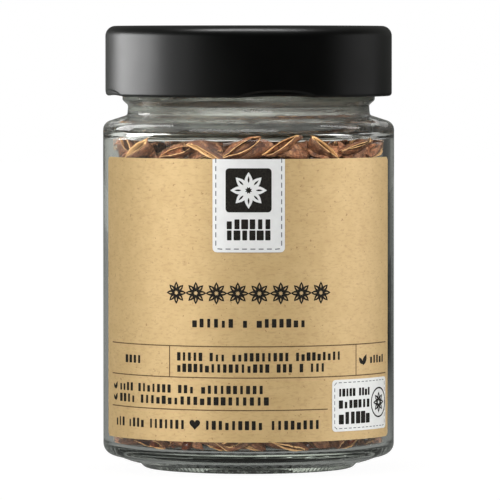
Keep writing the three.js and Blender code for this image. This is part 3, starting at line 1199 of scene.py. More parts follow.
class Artwork:
    """Flat shapes drawn on a sheet, as long as the bent paper, which are then bent round the jar."""

    pitch = 1.2
    sunk = 0.015

    def __init__(self, name: str, radius: float, height: float, finish: Finish) -> None:
        """Start an empty drawing.

        Args:
            name: The finished piece's name.
            radius: The radius of the face that it is drawn on.
            height: How far it stands proud of that face.
            finish: The material of every shape in it.
        """
        self.name = name
        self.radius = radius
        self.height = height
        self.finish = finish
        self.mesh = bmesh.new()

    def shape(self, outline: Outline, *holes: Outline) -> None:
        """Add a filled outline with holes in it, as thick as the ink.

        Args:
            outline: The outer edge.
            holes: The edges of its holes.
        """
        loops = [[Vector((u, v, 0.0)) for u, v in loop] for loop in (outline, *holes)]
        triangles = tessellate_polygon(loops)
        flat = [p for loop in loops for p in loop]
        made = bmesh.new()
        low = [made.verts.new((p.x, p.y, -self.sunk)) for p in flat]
        high = [made.verts.new((p.x, p.y, self.height)) for p in flat]
        for a, b, c in triangles:
            made.faces.new((high[a], high[b], high[c]))
            made.faces.new((low[c], low[b], low[a]))
        start = 0
        for loop in loops:
            for k in range(len(loop)):
                a, b = start + k, start + (k + 1) % len(loop)
                made.faces.new((low[a], low[b], high[b], high[a]))
            start += len(loop)
        bmesh.ops.recalc_face_normals(made, faces=made.faces)
        scratch = bpy.data.meshes.new("shape")
        made.to_mesh(scratch)
        made.free()
        self.mesh.from_mesh(scratch)
        bpy.data.meshes.remove(scratch)

    def take(self, piece: Piece) -> None:
        """Move the mesh of a flat piece into the drawing and delete the piece."""
        move = piece.data.copy()
        for vertex in move.vertices:
            vertex.co = vertex.co / MM
        self.mesh.from_mesh(move)
        old = piece.data
        bpy.data.objects.remove(piece)
        bpy.data.meshes.remove(old)
        bpy.data.meshes.remove(move)

    def drawn(self) -> bpy.types.Mesh:
        """End the drawing and give it as a mesh in its own units."""
        mesh = bpy.data.meshes.new(self.name)
        self.mesh.to_mesh(mesh)
        self.mesh.free()
        return mesh

    def pattern(self) -> Piece:
        """End the drawing and give it as a flat object that can be copied."""
        mesh = self.drawn()
        mesh.transform(Matrix.Scale(MM, 4))
        return in_scene(self.name, mesh)

    def bent(self) -> Piece:
        """Cut the drawing into narrow strips, bend it round the jar and make it a piece."""
        reach = [v.co.x for v in self.mesh.verts]
        first, last = math.ceil(min(reach) / self.pitch), math.floor(max(reach) / self.pitch)
        for k in range(first, last + 1):
            bmesh.ops.bisect_plane(
                self.mesh,
                geom=[*self.mesh.verts, *self.mesh.edges, *self.mesh.faces],
                dist=1e-5,
                plane_co=(k * self.pitch, 0, 0),
                plane_no=(1, 0, 0),
            )
        mesh = self.drawn()
        piece = in_scene(self.name, mesh)
        flat = np.array([v.co[:] for v in mesh.vertices])
        turns, radii = flat[:, 0] / self.radius, self.radius + flat[:, 2]
        bent = np.stack((radii * np.sin(turns), -radii * np.cos(turns), flat[:, 1]), axis=-1)
        move_points(piece, bent)
        mesh.materials.clear()
        mesh.materials.append(self.finish)
        return shaded(piece, Edge.CREASED)


@dataclass
class Copies:
    """Copies that are still to be made: where each goes, its turn, its scale, its pattern and its tone."""

    points: list[Sequence[float]] = field(default_factory=list)
    turns: list[Quaternion] = field(default_factory=list)
    sizes: list[Sequence[float]] = field(default_factory=list)
    kinds: list[int] = field(default_factory=list)
    tints: list[float | None] = field(default_factory=list)

    def put(self, point: Any, turn: Quaternion, size: Any, kind: int = 0, tint: float | None = None) -> None:
        """Add one copy.

        Args:
            point: Where it goes, in millimetres.
            turn: How it is turned.
            size: Its scale along its own axes.
            kind: Which pattern it is.
            tint: Its tone from 0 to 1, if the copies have one.
        """
        self.points.append(tuple(point))
        self.turns.append(turn)
        self.sizes.append(tuple(size))
        self.kinds.append(kind)
        self.tints.append(tint)

    def stamped(self, name: str, patterns: Sequence[Piece], finish: Finish | None) -> Piece:
        """Make every copy and join them to one mesh.

        Args:
            name: The new piece's name.
            patterns: The shapes to copy, which are deleted afterwards.
            finish: The material, if the piece has one yet.

        Returns:
            The joined piece.
        """
        shelf = bpy.data.collections.new(name + "_patterns")
        bpy.context.scene.collection.children.link(shelf)
        for number, pattern in enumerate(patterns):
            pattern.name = f"{name}_{number:02d}"
            for owner in pattern.users_collection:
                owner.objects.unlink(pattern)
            shelf.objects.link(pattern)
        piece = make_piece(name, self.points, [], Edge.FLAT)
        note(piece.data, "turn", "QUATERNION", (part for turn in self.turns for part in turn))
        note(piece.data, "size", "FLOAT_VECTOR", (part for size in self.sizes for part in size))
        note(piece.data, "kind", "INT", self.kinds)
        if None not in self.tints:
            note(piece.data, "tint", "FLOAT", self.tints)
        Stamping().apply(piece, {"Patterns": shelf, "Overall size": 1.0, "Finish": finish})
        for pattern in list(shelf.objects):
            bpy.data.objects.remove(pattern)
        bpy.data.collections.remove(shelf)
        return piece


@dataclass(frozen=True)
class Words:
    """A row of plain blocks that stands for a line of lettering."""

    left: float
    right: float
    middle: float
    height: float
    lengths: tuple[int, ...]
    weight: float = 0.56


class Greeking:
    """Draws rows of blocks in place of words: one block for each letter, none of them a letter."""

    space = 0.9

    def __init__(self, artwork: Artwork, seed: int) -> None:
        """Start a drawing of blocks on an artwork.

        Args:
            artwork: Where the blocks go.
            seed: What fixes the draw of their widths.
        """
        self.artwork = artwork
        self.dice = np.random.default_rng(seed)
        self.copies = Copies()

    def write(self, words: Words) -> None:
        """Add one row of blocks."""
        cells = sum(words.lengths) + self.space * (len(words.lengths) - 1)
        cell = (words.right - words.left) / cells
        at = words.left
        for count in words.lengths:
            for _ in range(count):
                width = cell * words.weight * self.dice.uniform(0.7, 1.3)
                tall = words.height * self.dice.choice((1.0, 0.8), p=(0.8, 0.2))
                spot = (at + cell / 2, words.middle - (words.height - tall) / 2, 0.0)
                self.copies.put(spot, Quaternion(), (width, tall, 1.0))
                at += cell
            at += self.space * cell

    def stamp(self) -> None:
        """Make every block and hand them all to the artwork."""
        block = Artwork("block", 1.0, self.artwork.height, self.artwork.finish)
        block.shape(rounded_box((-0.5, 0.5, -0.5, 0.5), 0.1))
        self.artwork.take(self.copies.stamped("blocks", [block.pattern()], None))


@dataclass
class PaperLabels:
    """The kraft label with its print, the white tag under the lid and the white sticker."""

    ink: Colour = srgb(24, 22, 19)
    worn_ink: Colour = srgb(48, 44, 38)
    rule_width: float = 0.27
    ink_height: float = 0.02
    glass_gap: float = 0.06
    paste: float = 0.02
    stitch_step: float = 0.4

    def __post_init__(self) -> None:
        """Place the sheets on the glass and on each other."""
        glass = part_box("jar_glass")[1].x / MM
        self.label = Sheet.on("label", glass + self.glass_gap, 0.13)
        self.tag = Sheet.on("label_tag", self.label.radius + self.paste, 0.12)
        self.sticker = Sheet.on("label_sticker", self.label.radius + self.paste, 0.1)
        self.black = PrintInk("black ink", self.ink, self.worn_ink).make()
        self.brown = PrintInk("brown ink", srgb(84, 64, 44), srgb(120, 92, 62)).make()
        self.grey = PrintInk("grey ink", srgb(96, 96, 100), srgb(130, 130, 132)).make()

    def sheet_piece(
        self,
        name: str,
        sheet: Sheet,
        corner: float,
        finish: Finish,
        form: Callable[[Sides, float], Outline],
    ) -> Piece:
        """Make one sheet of paper.

        Args:
            name: The piece's name.
            sheet: Its size and place.
            corner: The radius of its corners.
            finish: Its material.
            form: What draws its outline.

        Returns:
            The bent sheet.
        """
        drawing = Artwork(name, sheet.radius, 0.0, finish)
        drawing.sunk = sheet.thickness
        drawing.pitch = 0.8
        drawing.shape(form((sheet.left, sheet.right, sheet.low, sheet.high), corner))
        return drawing.bent()

    def print_on(self, sheet: Sheet, name: str, ink: Finish) -> Artwork:
        """Start a drawing in ink on a sheet."""
        return Artwork(name, sheet.radius, self.ink_height, ink)

    def rules(self, drawing: Artwork) -> None:
        """Draw the rules and dividers of the table."""
        half = self.rule_width / 2
        top, middle, bottom = 33.0, 25.1, 16.9
        left, right, short = -44.2, 44.9, 21.1
        for z, end in ((top, right), (middle, right), (bottom, short)):
            drawing.shape([(left, z - half), (end, z - half), (end, z + half), (left, z + half)])
        for u in (-21.05, 30.5):
            low, high = middle + half, top - half
            drawing.shape([(u - half, low), (u + half, low), (u + half, high), (u - half, high)])

    def leaf(self, drawing: Artwork, u: float, v: float, size: float) -> None:
        """Draw a pair of leaves on a short stem."""
        drawing.shape(blade(u, v, size, size * 0.46, 62))
        drawing.shape(blade(u - size * 0.05, v + size * 0.08, size * 0.74, size * 0.36, 128))

    def rows(self, drawing: Artwork, seed: int, words: Iterable[Words]) -> None:
        """Draw rows of blocks, their widths drawn from a seed.

        Args:
            drawing: Where they go.
            seed: What fixes the draw.
            words: The rows.
        """
        greeking = Greeking(drawing, seed)
        for row in words:
            greeking.write(row)
        greeking.stamp()

    def body_words(self, drawing: Artwork) -> None:
        """Draw the blocks that stand for the small print, the heart and the leaves."""
        words = (
            Words(-14.9, 15.0, 38.9, 2.2, (6, 1, 7)),
            Words(-37.2, -30.4, 29.2, 2.0, (4,)),
            Words(-19.1, 25.3, 30.35, 2.15, (5, 3, 10, 9)),
            Words(-19.1, 20.4, 27.5, 2.15, (16, 3, 1, 3)),
            Words(36.0, 43.4, 28.95, 2.0, (5,)),
            Words(-40.0, 4.0, 22.1, 2.1, (4, 7, 3, 10)),
            Words(-40.0, 5.4, 19.2, 2.1, (4, 20)),
            Words(-42.0, -16.5, 13.1, 2.3, (3, 4, 7), 0.5),
            Words(-11.4, 18.9, 13.1, 2.3, (9, 8), 0.5),
        )
        self.rows(drawing, 5, words)
        drawing.shape(heart(-13.9, 13.3, 2.9))
        self.leaf(drawing, 33.2, 27.6, 3.1)
        for z in (22.1, 19.2):
            self.leaf(drawing, -42.2, z - 1.0, 2.2)

    def rosettes(self, drawing: Artwork, spots: Sequence[tuple[float, float]], reach: float) -> None:
        """Draw eight-petalled stars, the shape of the spice.

        Args:
            drawing: Where they go.
            spots: Their middles.
            reach: The length of a petal.
        """
        petal = Artwork("petal", 1.0, drawing.height, drawing.finish)
        petal.shape(blade(0.12, 0.0, 0.88, 0.44, 0.0), blade(0.4, 0.0, 0.38, 0.1, 0.0))
        shape = petal.pattern()
        row = make_piece("rosettes", [(u, v, 0.0) for u, v in spots], [], Edge.FLAT)
        made = Rosette().apply(
            row,
            {"Petal": shape, "Petal count": 8, "Petal size": reach, "Finish": drawing.finish},
        )
        bpy.data.objects.remove(shape)
        flat = points_of(made)
        flat[:, 2] = np.where(flat[:, 2] > 0, drawing.height, -drawing.sunk)
        move_points(made, flat)
        drawing.take(made)

    def stitches(
        self,
        name: str,
        sheet: Sheet,
        inset: float,
        corner: float,
        open_top: bool,
        size: tuple[float, float, float],
    ) -> None:
        """Lay the dashed line inside the edge of a sheet.

        Args:
            name: The piece's name.
            sheet: The sheet that it runs round.
            inset: Its distance from the edge.
            corner: The radius of its corners.
            open_top: Whether it leaves out the top side.
            size: Pitch, length and width of the dashes.
        """
        left, right, low = sheet.left + inset, sheet.right - inset, sheet.low + inset
        if open_top:
            path = finely(rounded_foot((left, right, low, sheet.high - 0.3), corner), self.stitch_step)
            edges = [(k, k + 1) for k in range(len(path) - 1)]
        else:
            loop = rounded_box((left, right, low, sheet.high - inset), corner)
            path = finely([*loop, loop[0]], self.stitch_step)[:-1]
            edges = [(k, (k + 1) % len(path)) for k in range(len(path))]
        line = make_piece(name, [(x, y, 0.0) for x, y in path], [], Edge.FLAT, edges)
        pitch, length, width = size
        DashedLine().apply(
            line,
            {
                "Pitch": pitch * MM,
                "Dash length": length * MM,
                "Dash width": width * MM,
                "Dash height": 2 * self.ink_height * MM,
                "Finish": self.grey,
            },
        )
        drawing = self.print_on(sheet, name, self.grey)
        drawing.take(line)
        hand_over(drawing.bent(), Slot.TAG if open_top else Slot.STICKER)

    def build(self) -> None:
        """Make the sheets and their print, and hand them over."""
        white = srgb(232, 232, 231), srgb(226, 226, 225)
        coated = CoatedPaper("white tag paper", *white).make()
        bright = CoatedPaper("white sticker paper", srgb(226, 226, 224), srgb(219, 219, 217)).make()
        sheets = (
            ("kraft_label", self.label, 1.3, KraftPaper().make(), rounded_box, Slot.LABEL),
            ("neck_tag", self.tag, 1.1, coated, rounded_foot, Slot.TAG),
            ("round_sticker", self.sticker, 1.0, bright, rounded_box, Slot.STICKER),
        )
        for name, sheet, corner, finish, form, slot in sheets:
            hand_over(self.sheet_piece(name, sheet, corner, finish, form), slot, slot.value)

        rules = self.print_on(self.label, "label_rules", self.brown)
        self.rules(rules)
        printed = self.print_on(self.label, "label_print", self.black)
        self.body_words(printed)
        width, count = 43.6, 8
        spots = [(width * ((k + 0.5) / count - 0.5), 46.45) for k in range(count)]
        self.rosettes(printed, spots, 2.85)

        tag_print = self.print_on(self.tag, "tag_print", self.black)
        tag_print.shape(rounded_box((-5.82, 5.82, 66.9, 78.0), 0.9))
        self.rows(tag_print, 8, [Words(-5.85, 5.85, z, 2.5, (6,), 0.74) for z in (63.9, 61.1)])
        motif_finish = CoatedPaper("white motif", *white).make()
        motif = Artwork("tag_motif", self.tag.radius + self.ink_height, self.ink_height, motif_finish)
        self.rosettes(motif, [(0.0, 72.45)], 4.6)

        middle, left, right = 40.5, 24.4, 36.2
        sticker_print = self.print_on(self.sticker, "sticker_print", self.black)
        sticker_words = (
            Words(left, right, 20.9, 2.0, (5, 4), 0.72),
            Words(left, right, 17.9, 2.1, (7,), 0.72),
            Words(left, right, 14.4, 3.1, (6,), 0.76),
        )
        self.rows(sticker_print, 3, sticker_words)
        sticker_print.shape(oval(middle, 17.8, 3.9, 3.9), oval(middle, 17.8, 3.5, 3.5))
        self.rosettes(sticker_print, [(middle, 17.8)], 2.7)

        prints = (
            (rules, Slot.LABEL),
            (printed, Slot.LABEL),
            (tag_print, Slot.TAG),
            (motif, Slot.TAG),
            (sticker_print, Slot.STICKER),
        )
        for drawing, slot in prints:
            hand_over(drawing.bent(), slot)
        self.stitches("tag_stitches", self.tag, 0.85, 1.0, True, (2.05, 1.25, 0.26))
        self.stitches("sticker_stitches", self.sticker, 0.75, 0.9, False, (1.65, 1.0, 0.2))


class Dice:
    """The repeatable random draw that the solids use too."""

    def __init__(self, seed: int) -> None:
        """Start the draw from a seed."""
        self.state = seed

    def between(self, low: float, high: float) -> float:
        """Draw the next number between two limits."""
        self.state = (self.state * 1664525 + 1013904223) & 0xFFFFFFFF
        return low + (high - low) * self.state / 4294967296


@dataclass(frozen=True)
class Pod:
    """One star: where it lies, how it is turned, its size, and the turn and reach of each carpel."""

    middle: Vector
    turn: Quaternion
    size: float
    carpels: tuple[tuple[float, float], ...]


@dataclass(frozen=True)
class LooseCarpel:
    """A carpel broken off its pod: its middle, its turn, its size and its reach."""

    middle: Vector
    turn: Quaternion
    size: float
    reach: float


@dataclass(frozen=True)
class CarpelShape:
    """What sets one carpel apart from the next."""

    opening: float
    width: float
    sweep: float
    seed: int


@dataclass(frozen=True)
class Fineness:
    """How many stations a carpel has along its length, and points on its outside and its inside."""

    stations: int
    outside: int
    inside: int


class PodPart(Enum):
    """The parts of a pod, each of which is a piece of its own."""

    CARPEL = "carpel"
    SEED = "seed"
    HUB = "hub"


SEEN_CLOSE = Fineness(20, 14, 8)
SEEN_BEHIND = Fineness(12, 9, 6)
ANY_ROLL = (0.0, 2 * math.pi)


@dataclass
class StarAnise:
    """The star anise in the jar: an outer layer where the solids have it, a layer behind it and a core."""

    bore: float
    floor: float
    corner: float
    seed: int = 38
    carpel_count: int = 8
    length: float = 13.4
    loose_rings: tuple[tuple[int, float, float], ...] = ((22, 31.0, 9.0), (22, 31.0, 81.4))
    rows: tuple[float, ...] = (18.5, 36.0, 53.5, 71.0)
    in_row: int = 8
    inner_rows: tuple[float, ...] = (12.0, 28.0, 44.5, 61.0)
    in_inner_row: int = 7
    top_pods: int = 5
    top_radius: float = 15.5
    top_height: float = 76.0
    behind_label: float = 58.0
    half_depth: float = 5.0
    reach: float = 8.5
    shell: float = 0.5
    spilt_seeds: int = 11
    seed_middle: tuple[float, float, float] = (7.6, 0.1, 0.6)
    shapes: tuple[CarpelShape, ...] = (
        CarpelShape(1.05, 1.95, 0.5, 1),
        CarpelShape(0.8, 1.8, -0.7, 2),
        CarpelShape(0.5, 1.6, 0.3, 3),
        CarpelShape(1.35, 2.2, -0.3, 4),
        CarpelShape(0.3, 1.4, 0.9, 5),
        CarpelShape(0.95, 1.85, -1.0, 6),
        CarpelShape(0.65, 1.65, 0.1, 7),
        CarpelShape(1.2, 2.05, 0.7, 8),
    )

    def drawn(self, dice: Dice, middle: Vector, axis: Vector) -> Pod:
        """Draw the turn, size and carpels of one pod, in the order that the solids use.

        Args:
            dice: The draw to go on with.
            middle: Where the pod is.
            axis: Which way it faces.

        Returns:
            The pod.
        """
        turn = UP.rotation_difference(axis) @ Quaternion(UP, dice.between(0, math.pi))
        size = dice.between(0.88, 1.06)
        carpels = []
        for i in range(self.carpel_count):
            angle = math.radians(360 * i / self.carpel_count + dice.between(-5, 5))
            carpels.append((angle, dice.between(0.8, 1.05)))
        return Pod(middle, turn, size, tuple(carpels))

    def facing(self, azimuth: float, side: int, tilt: float, towards: float) -> Vector:
        """Give a pod's axis: out of the jar or into it, tilted one way.

        Args:
            azimuth: Where on the wall it is.
            side: 1 for out of the jar, -1 for into it.
            tilt: How far it leans, in radians.
            towards: Which way it leans, in radians.

        Returns:
            The axis.
        """
        axis = around(1, azimuth, 0) * (side * math.cos(tilt))
        axis += around(1, azimuth + 90, 0) * (math.sin(tilt) * math.cos(towards))
        return axis + UP * (math.sin(tilt) * math.sin(towards))

    def outer_pods(self, dice: Dice) -> list[Pod]:
        """Repeat the solids' own pods.

        Args:
            dice: The draw to go on with.

        Returns:
            The pods, from the lowest row up.
        """
        spots: list[tuple[Vector, Vector]] = []
        for row, height in enumerate(self.rows):
            for i in range(self.in_row):
                azimuth = 360 * (i + 0.5 * (row % 2)) / self.in_row + dice.between(-5, 5)
                tilt = math.radians(dice.between(0, 38))
                towards = dice.between(0, 2 * math.pi)
                side = 1 if dice.between(0, 1) < 0.7 else -1
                z = height + dice.between(-2, 2)
                off = abs((azimuth + 180) % 360 - 180)
                if off < self.behind_label and 0 < row < len(self.rows) - 1:
                    continue
                radius = self.bore - 0.3 - self.half_depth - self.reach * math.sin(tilt)
                spots.append((around(radius, azimuth, z), self.facing(azimuth, side, tilt, towards)))
        for i in range(self.top_pods):
            azimuth = 360 * i / self.top_pods + dice.between(-9, 9)
            lean = dice.between(-0.35, 0.35)
            axis = around(lean, azimuth, 1).normalized()
            height = self.top_height + dice.between(-1, 1)
            spots.append((around(self.top_radius, azimuth, height), axis))
        spots.append((Vector((0, 0, self.top_height + 1)), Vector((0.2, 0, 1)).normalized()))
        return [self.drawn(dice, middle, axis) for middle, axis in spots]

    def loose(
        self,
        dice: Dice,
        rings: Sequence[tuple[int, float, float]],
        spread: float,
        roll: tuple[float, float] = ANY_ROLL,
    ) -> list[LooseCarpel]:
        """Lay loose carpels along the wall in rings.

        Args:
            dice: The draw to go on with.
            rings: The count, radius and height of each ring.
            spread: How far a carpel may stray inwards or outwards.
            roll: The limits of its roll: any, or round half pi for a slit that faces outwards.

        Returns:
            The carpels, in the order that the solids use.
        """
        found = []
        for count, radius, height in rings:
            for i in range(count):
                azimuth = 360 * i / count + dice.between(-7, 7)
                out = radius + dice.between(-spread, spread)
                middle = around(out, azimuth, height + dice.between(-0.7, 0.7))
                back = dice.between(0, 1) < 0.5
                pitch = math.radians(dice.between(-42, 42))
                rolled = dice.between(*roll)
                if back and roll != ANY_ROLL:
                    rolled = -rolled
                way = math.radians(azimuth) + (math.pi if back else 0)
                turn = Euler((rolled, pitch, way), "XYZ").to_quaternion()
                size = dice.between(0.88, 1.06)
                found.append(LooseCarpel(middle, turn, size, dice.between(0.8, 1.05)))
        return found

    def inner_pods(self) -> list[Pod]:
        """Fill in behind the outer layer, turned every way."""
        dice = Dice(self.seed + 1)
        pods = []
        for row, height in enumerate(self.inner_rows):
            for i in range(self.in_inner_row):
                azimuth = 360 * (i + 0.5 * (row % 2)) / self.in_inner_row + dice.between(-8, 8)
                tilt = math.radians(dice.between(15, 75))
                axis = self.facing(azimuth, 1, tilt, dice.between(0, 2 * math.pi))
                middle = around(dice.between(20.5, 23.5), azimuth, height + dice.between(-3, 3))
                pods.append(self.drawn(dice, middle, axis))
        return pods

    def section(self, shape: CarpelShape, fineness: Fineness, t: float) -> tuple[np.ndarray, np.ndarray]:
        """Give the section of a carpel at a share of its length.

        Args:
            shape: Which carpel it is.
            fineness: How many points it has.
            t: 0 at the root, 1 at the beak.

        Returns:
            Rows of side and height, and the share of lip in each point.
        """
        stops = (0, 0.15, 0.35, 0.6, 0.8, 0.92, 1)
        width = shape.width * np.interp(t, stops, (0.5, 0.68, 0.96, 1, 0.7, 0.34, 0.06))
        lip = 2.9 * np.interp(t, stops, (0.5, 0.78, 0.98, 1, 1.0, 1.05, 1.12))
        keel = -3.5 * np.interp(t, stops, (0.6, 0.86, 1, 0.9, 0.52, 0.04, -0.78))
        slit = (shape.opening + 0.12) * np.interp(t, stops, (0.1, 0.35, 0.85, 1, 0.8, 0.4, 0.1))
        centre = keel + (lip - keel) * 0.52
        shell = min(self.shell, 0.45 * width, 0.4 * (lip - keel) / 2)

        def round_from_slit(semi: float, count: int) -> np.ndarray:
            """Give the turns of points from one lip round the keel to the other."""
            start = math.asin(min(0.92, slit / semi))
            return np.linspace(start, 2 * math.pi - start, count)

        outer = round_from_slit(width, fineness.outside)
        inner = round_from_slit(max(width - shell, 1e-3), fineness.inside)[::-1]
        up, down = lip - centre, centre - keel
        rows = []
        for turns, thin in ((outer, 0.0), (inner, shell)):
            rise, reach = (np.copysign(np.abs(f(turns)) ** 1.4, f(turns)) for f in (np.cos, np.sin))
            tall = np.where(rise > 0, up - 0.3 * thin, down - thin)
            side = (width - thin) * reach * (1 - 0.15 * np.clip(-rise, 0, 1))
            rows.append(np.stack((side, centre + tall * rise), axis=-1))
        share = np.zeros(fineness.outside + fineness.inside)
        share[fineness.outside :] = 0.6
        share[[0, fineness.outside - 1, fineness.outside, -1]] = 1.0
        return np.vstack(rows), share

    def smooth_carpel(self, shape: CarpelShape, fineness: Fineness) -> tuple[np.ndarray, np.ndarray]:
        """Give the points of a carpel with a smooth skin.

        Args:
            shape: Which carpel it is.
            fineness: How many points it has.

        Returns:
            The points, section after section, and the share of lip in each.
        """
        rows, shares = [], []
        for k in range(fineness.stations + 1):
            t = k / fineness.stations
            section, share = self.section(shape, fineness, t)
            x = np.full(len(section), 0.6 + (self.length - 0.6) * t)
            y = section[:, 0] + shape.sweep * t * t
            z = section[:, 1] + 0.9 * max(t - 0.75, 0) * 4 * t
            rows.append(np.stack((x, y, z), axis=-1))
            shares.append(share)
        return np.vstack(rows), np.concatenate(shares)

    def wrinkle(self, points: np.ndarray, edge: np.ndarray, seed: int) -> None:
        """Crease, pit and swell the skin of a carpel, and let its lips wander.

        Args:
            points: The carpel's points, which are moved.
            edge: The share of lip in each.
            seed: What sets this carpel's wrinkles apart.
        """
        offset = Vector((11.3 * seed, 0, 0))
        for i, (x, y, z) in enumerate(points):
            if edge[i] > 0.9:
                points[i, 2] += 0.28 * noise.noise(Vector((x * 0.8, y, 1.7)) + offset)
                continue
            crease = abs(noise.noise(Vector((x * 0.4, y * 1.3, z * 1.2)) + offset))
            pit = noise.noise(Vector((x * 0.7, y, z)) * 1.3 + offset)
            bulge = noise.noise(Vector((x, y, z)) * 0.35 - offset)
            amount = (0.1 - 0.6 * crease + 0.16 * pit + 0.3 * bulge) * (0.3 if edge[i] > 0 else 1)
            points[i] += np.array((0, y, z)) / max(math.hypot(y, z), 0.3) * amount

    def carpel(self, shape: CarpelShape, fineness: Fineness) -> Piece:
        """Make one open boat with wrinkled sides, its root at the origin and its beak along +X.

        Args:
            shape: Which carpel it is.
            fineness: How many points it has.

        Returns:
            The carpel as an object.
        """
        points, edge = self.smooth_carpel(shape, fineness)
        self.wrinkle(points, edge, shape.seed)
        ring = fineness.outside + fineness.inside
        last = fineness.stations * ring
        faces: list[tuple[int, ...]] = []
        for k in range(0, last, ring):
            for j in range(ring):
                a, b = k + j, k + (j + 1) % ring
                faces.append((a, b, b + ring, a + ring))
        faces.append(tuple(reversed(range(ring))))
        faces.append(tuple(range(last, last + ring)))
        piece = make_piece("carpel", points, faces, Edge.SMOOTH)
        facing_out(piece)
        own = (points + 40.0 * shape.seed) * MM
        note(piece.data, "lip", "FLOAT", edge)
        note(piece.data, "own_place", "FLOAT_VECTOR", own.ravel())
        return piece

    def lump(self, name: str, semi: Sequence[float], middle: Sequence[float], rough: float) -> Piece:
        """Make a closed lump: an ellipsoid with an uneven skin.

        Args:
            name: Its name.
            semi: Its three half lengths.
            middle: Where its middle is.
            rough: How uneven it is.

        Returns:
            The lump as an object.
        """
        mesh = bmesh.new()
        bmesh.ops.create_uvsphere(mesh, u_segments=14, v_segments=9, radius=1.0)
        for vertex in mesh.verts:
            swell = 1 + rough * noise.noise(vertex.co * 2.3 + Vector((semi[0], 4.2, 1.7)))
            vertex.co = Vector([c * s * swell + m for c, s, m in zip(vertex.co, semi, middle)])
        data = bpy.data.meshes.new(name)
        mesh.to_mesh(data)
        mesh.free()
        data.transform(Matrix.Scale(MM, 4))
        note(data, "own_place", "FLOAT_VECTOR", [c for vertex in data.vertices for c in vertex.co])
        return shaded(in_scene(name, data), Edge.SMOOTH)

    def wall_at(self, heights: np.ndarray) -> np.ndarray:
        """Give the greatest radius that contents may have at each height.

        Args:
            heights: The heights.

        Returns:
            The radii.
        """
        low, corner, bore = self.floor, self.corner, self.bore
        levels = (low, low + 0.3 * corner, low + corner, 84.4, 86.2, 88.5, 90.5)
        radii = (bore - corner, bore - 0.28 * corner, bore, bore, bore - 0.9, bore - 4.2, 28.6)
        return np.interp(heights, levels, radii) - 0.05

    def kept_inside(self, piece: Piece) -> None:
        """Press what would cross the glass flat against it."""
        points = points_of(piece)
        points[:, 2] = np.maximum(points[:, 2], self.floor + 0.3)
        radius = np.hypot(points[:, 0], points[:, 1])
        most = self.wall_at(points[:, 2])
        share = np.where(radius > most, most / np.maximum(radius, 1e-6), 1.0)
        points[:, :2] *= share[:, None]
        move_points(piece, points)

    def place_loose(self, copies: Copies, dice: Dice, loose: Sequence[LooseCarpel]) -> None:
        """Put down the carpels that are broken off their pods.

        Args:
            copies: What they are added to.
            dice: The draw of kinds and tones.
            loose: The carpels.
        """
        for carpel in loose:
            back = carpel.turn @ Vector((-0.5 * self.length * carpel.reach * carpel.size, 0, 0))
            size = (carpel.size * carpel.reach, carpel.size, carpel.size)
            kind = int(dice.between(0, len(self.shapes)))
            copies.put(carpel.middle + back, carpel.turn, size, kind, dice.between(0.1, 0.95))

    def place_pods(self, copies: Copies, dice: Dice, pods: Sequence[Pod], part: PodPart) -> None:
        """Put down one part of every pod.

        Args:
            copies: What they are added to.
            dice: The draw of kinds, tones and seeds, the same for the carpels and the seeds.
            pods: The pods.
            part: Which part of them.
        """
        for pod in pods:
            tone = dice.between(0.15, 0.85)
            if part is PodPart.HUB:
                copies.put(pod.middle, pod.turn, (pod.size,) * 3, int(dice.between(0, 2)), tone)
                continue
            for angle, reach in pod.carpels:
                kind = int(dice.between(0, len(self.shapes)))
                seeded = dice.between(0, 1) < 0.8 and self.shapes[kind].opening > 0.4
                own = min(1.0, max(0.0, tone + dice.between(-0.2, 0.2)))
                turn = pod.turn @ Quaternion(UP, angle)
                size = (pod.size * reach, pod.size, pod.size)
                if part is PodPart.CARPEL:
                    copies.put(pod.middle, turn, size, kind, own)
                elif seeded:
                    copies.put(pod.middle, turn, size, 0, own)

    def place_spilt_seeds(self, copies: Copies, seed: int) -> None:
        """Put down the seeds that lie on the floor of the jar.

        Args:
            copies: What they are added to.
            seed: What fixes their places.
        """
        spill = np.random.default_rng(seed)
        for _ in range(self.spilt_seeds):
            place = around(spill.uniform(27, self.bore - 2.6), spill.uniform(0, 360), self.floor + 1.9)
            turn = Euler(spill.uniform(-0.5, 0.5, 2).tolist() + [spill.uniform(0, 6.3)]).to_quaternion()
            copies.put(place - turn @ Vector(self.seed_middle), turn, (1.0, 1.0, 1.0), 0, 0.5)

    def patterns(self, part: PodPart, fineness: Fineness) -> list[Piece]:
        """Make the shapes that a part of a pod is copied from.

        Args:
            part: The part.
            fineness: How many points a carpel has.

        Returns:
            The shapes.
        """
        if part is PodPart.CARPEL:
            return [self.carpel(shape, fineness) for shape in self.shapes]
        if part is PodPart.SEED:
            return [self.lump("seed", (3.3, 1.3, 2.1), self.seed_middle, 0.05)]
        lumps = (((3.1, 3.1, 2.3), (0, 0, -0.9), 0.3), ((2.7, 2.9, 2.8), (0, 0, -1.4), 0.4))
        return [self.lump("hub", *lump) for lump in lumps]

    def piece(
        self,
        name: str,
        pods: Sequence[Pod],
        part: PodPart,
        finish: Finish,
        seed: int,
        fineness: Fineness = SEEN_CLOSE,
        loose: Sequence[LooseCarpel] = (),
    ) -> Piece:
        """Make one piece of the filling: a part of a set of pods, or loose carpels.

        Args:
            name: The piece's name.
            pods: The pods.
            part: Which part of them.
            finish: The material.
            seed: What fixes the choice among the patterns.
            fineness: How many points a carpel has.
            loose: The carpels broken off their pods.

        Returns:
            The joined piece.
        """
        dice, copies = Dice(seed), Copies()
        self.place_loose(copies, dice, loose)
        self.place_pods(copies, dice, pods, part)
        if part is PodPart.SEED:
            self.place_spilt_seeds(copies, seed)
        made = copies.stamped(name, self.patterns(part, fineness), finish)
        self.kept_inside(made)
        return shaded(made, Edge.SMOOTH)

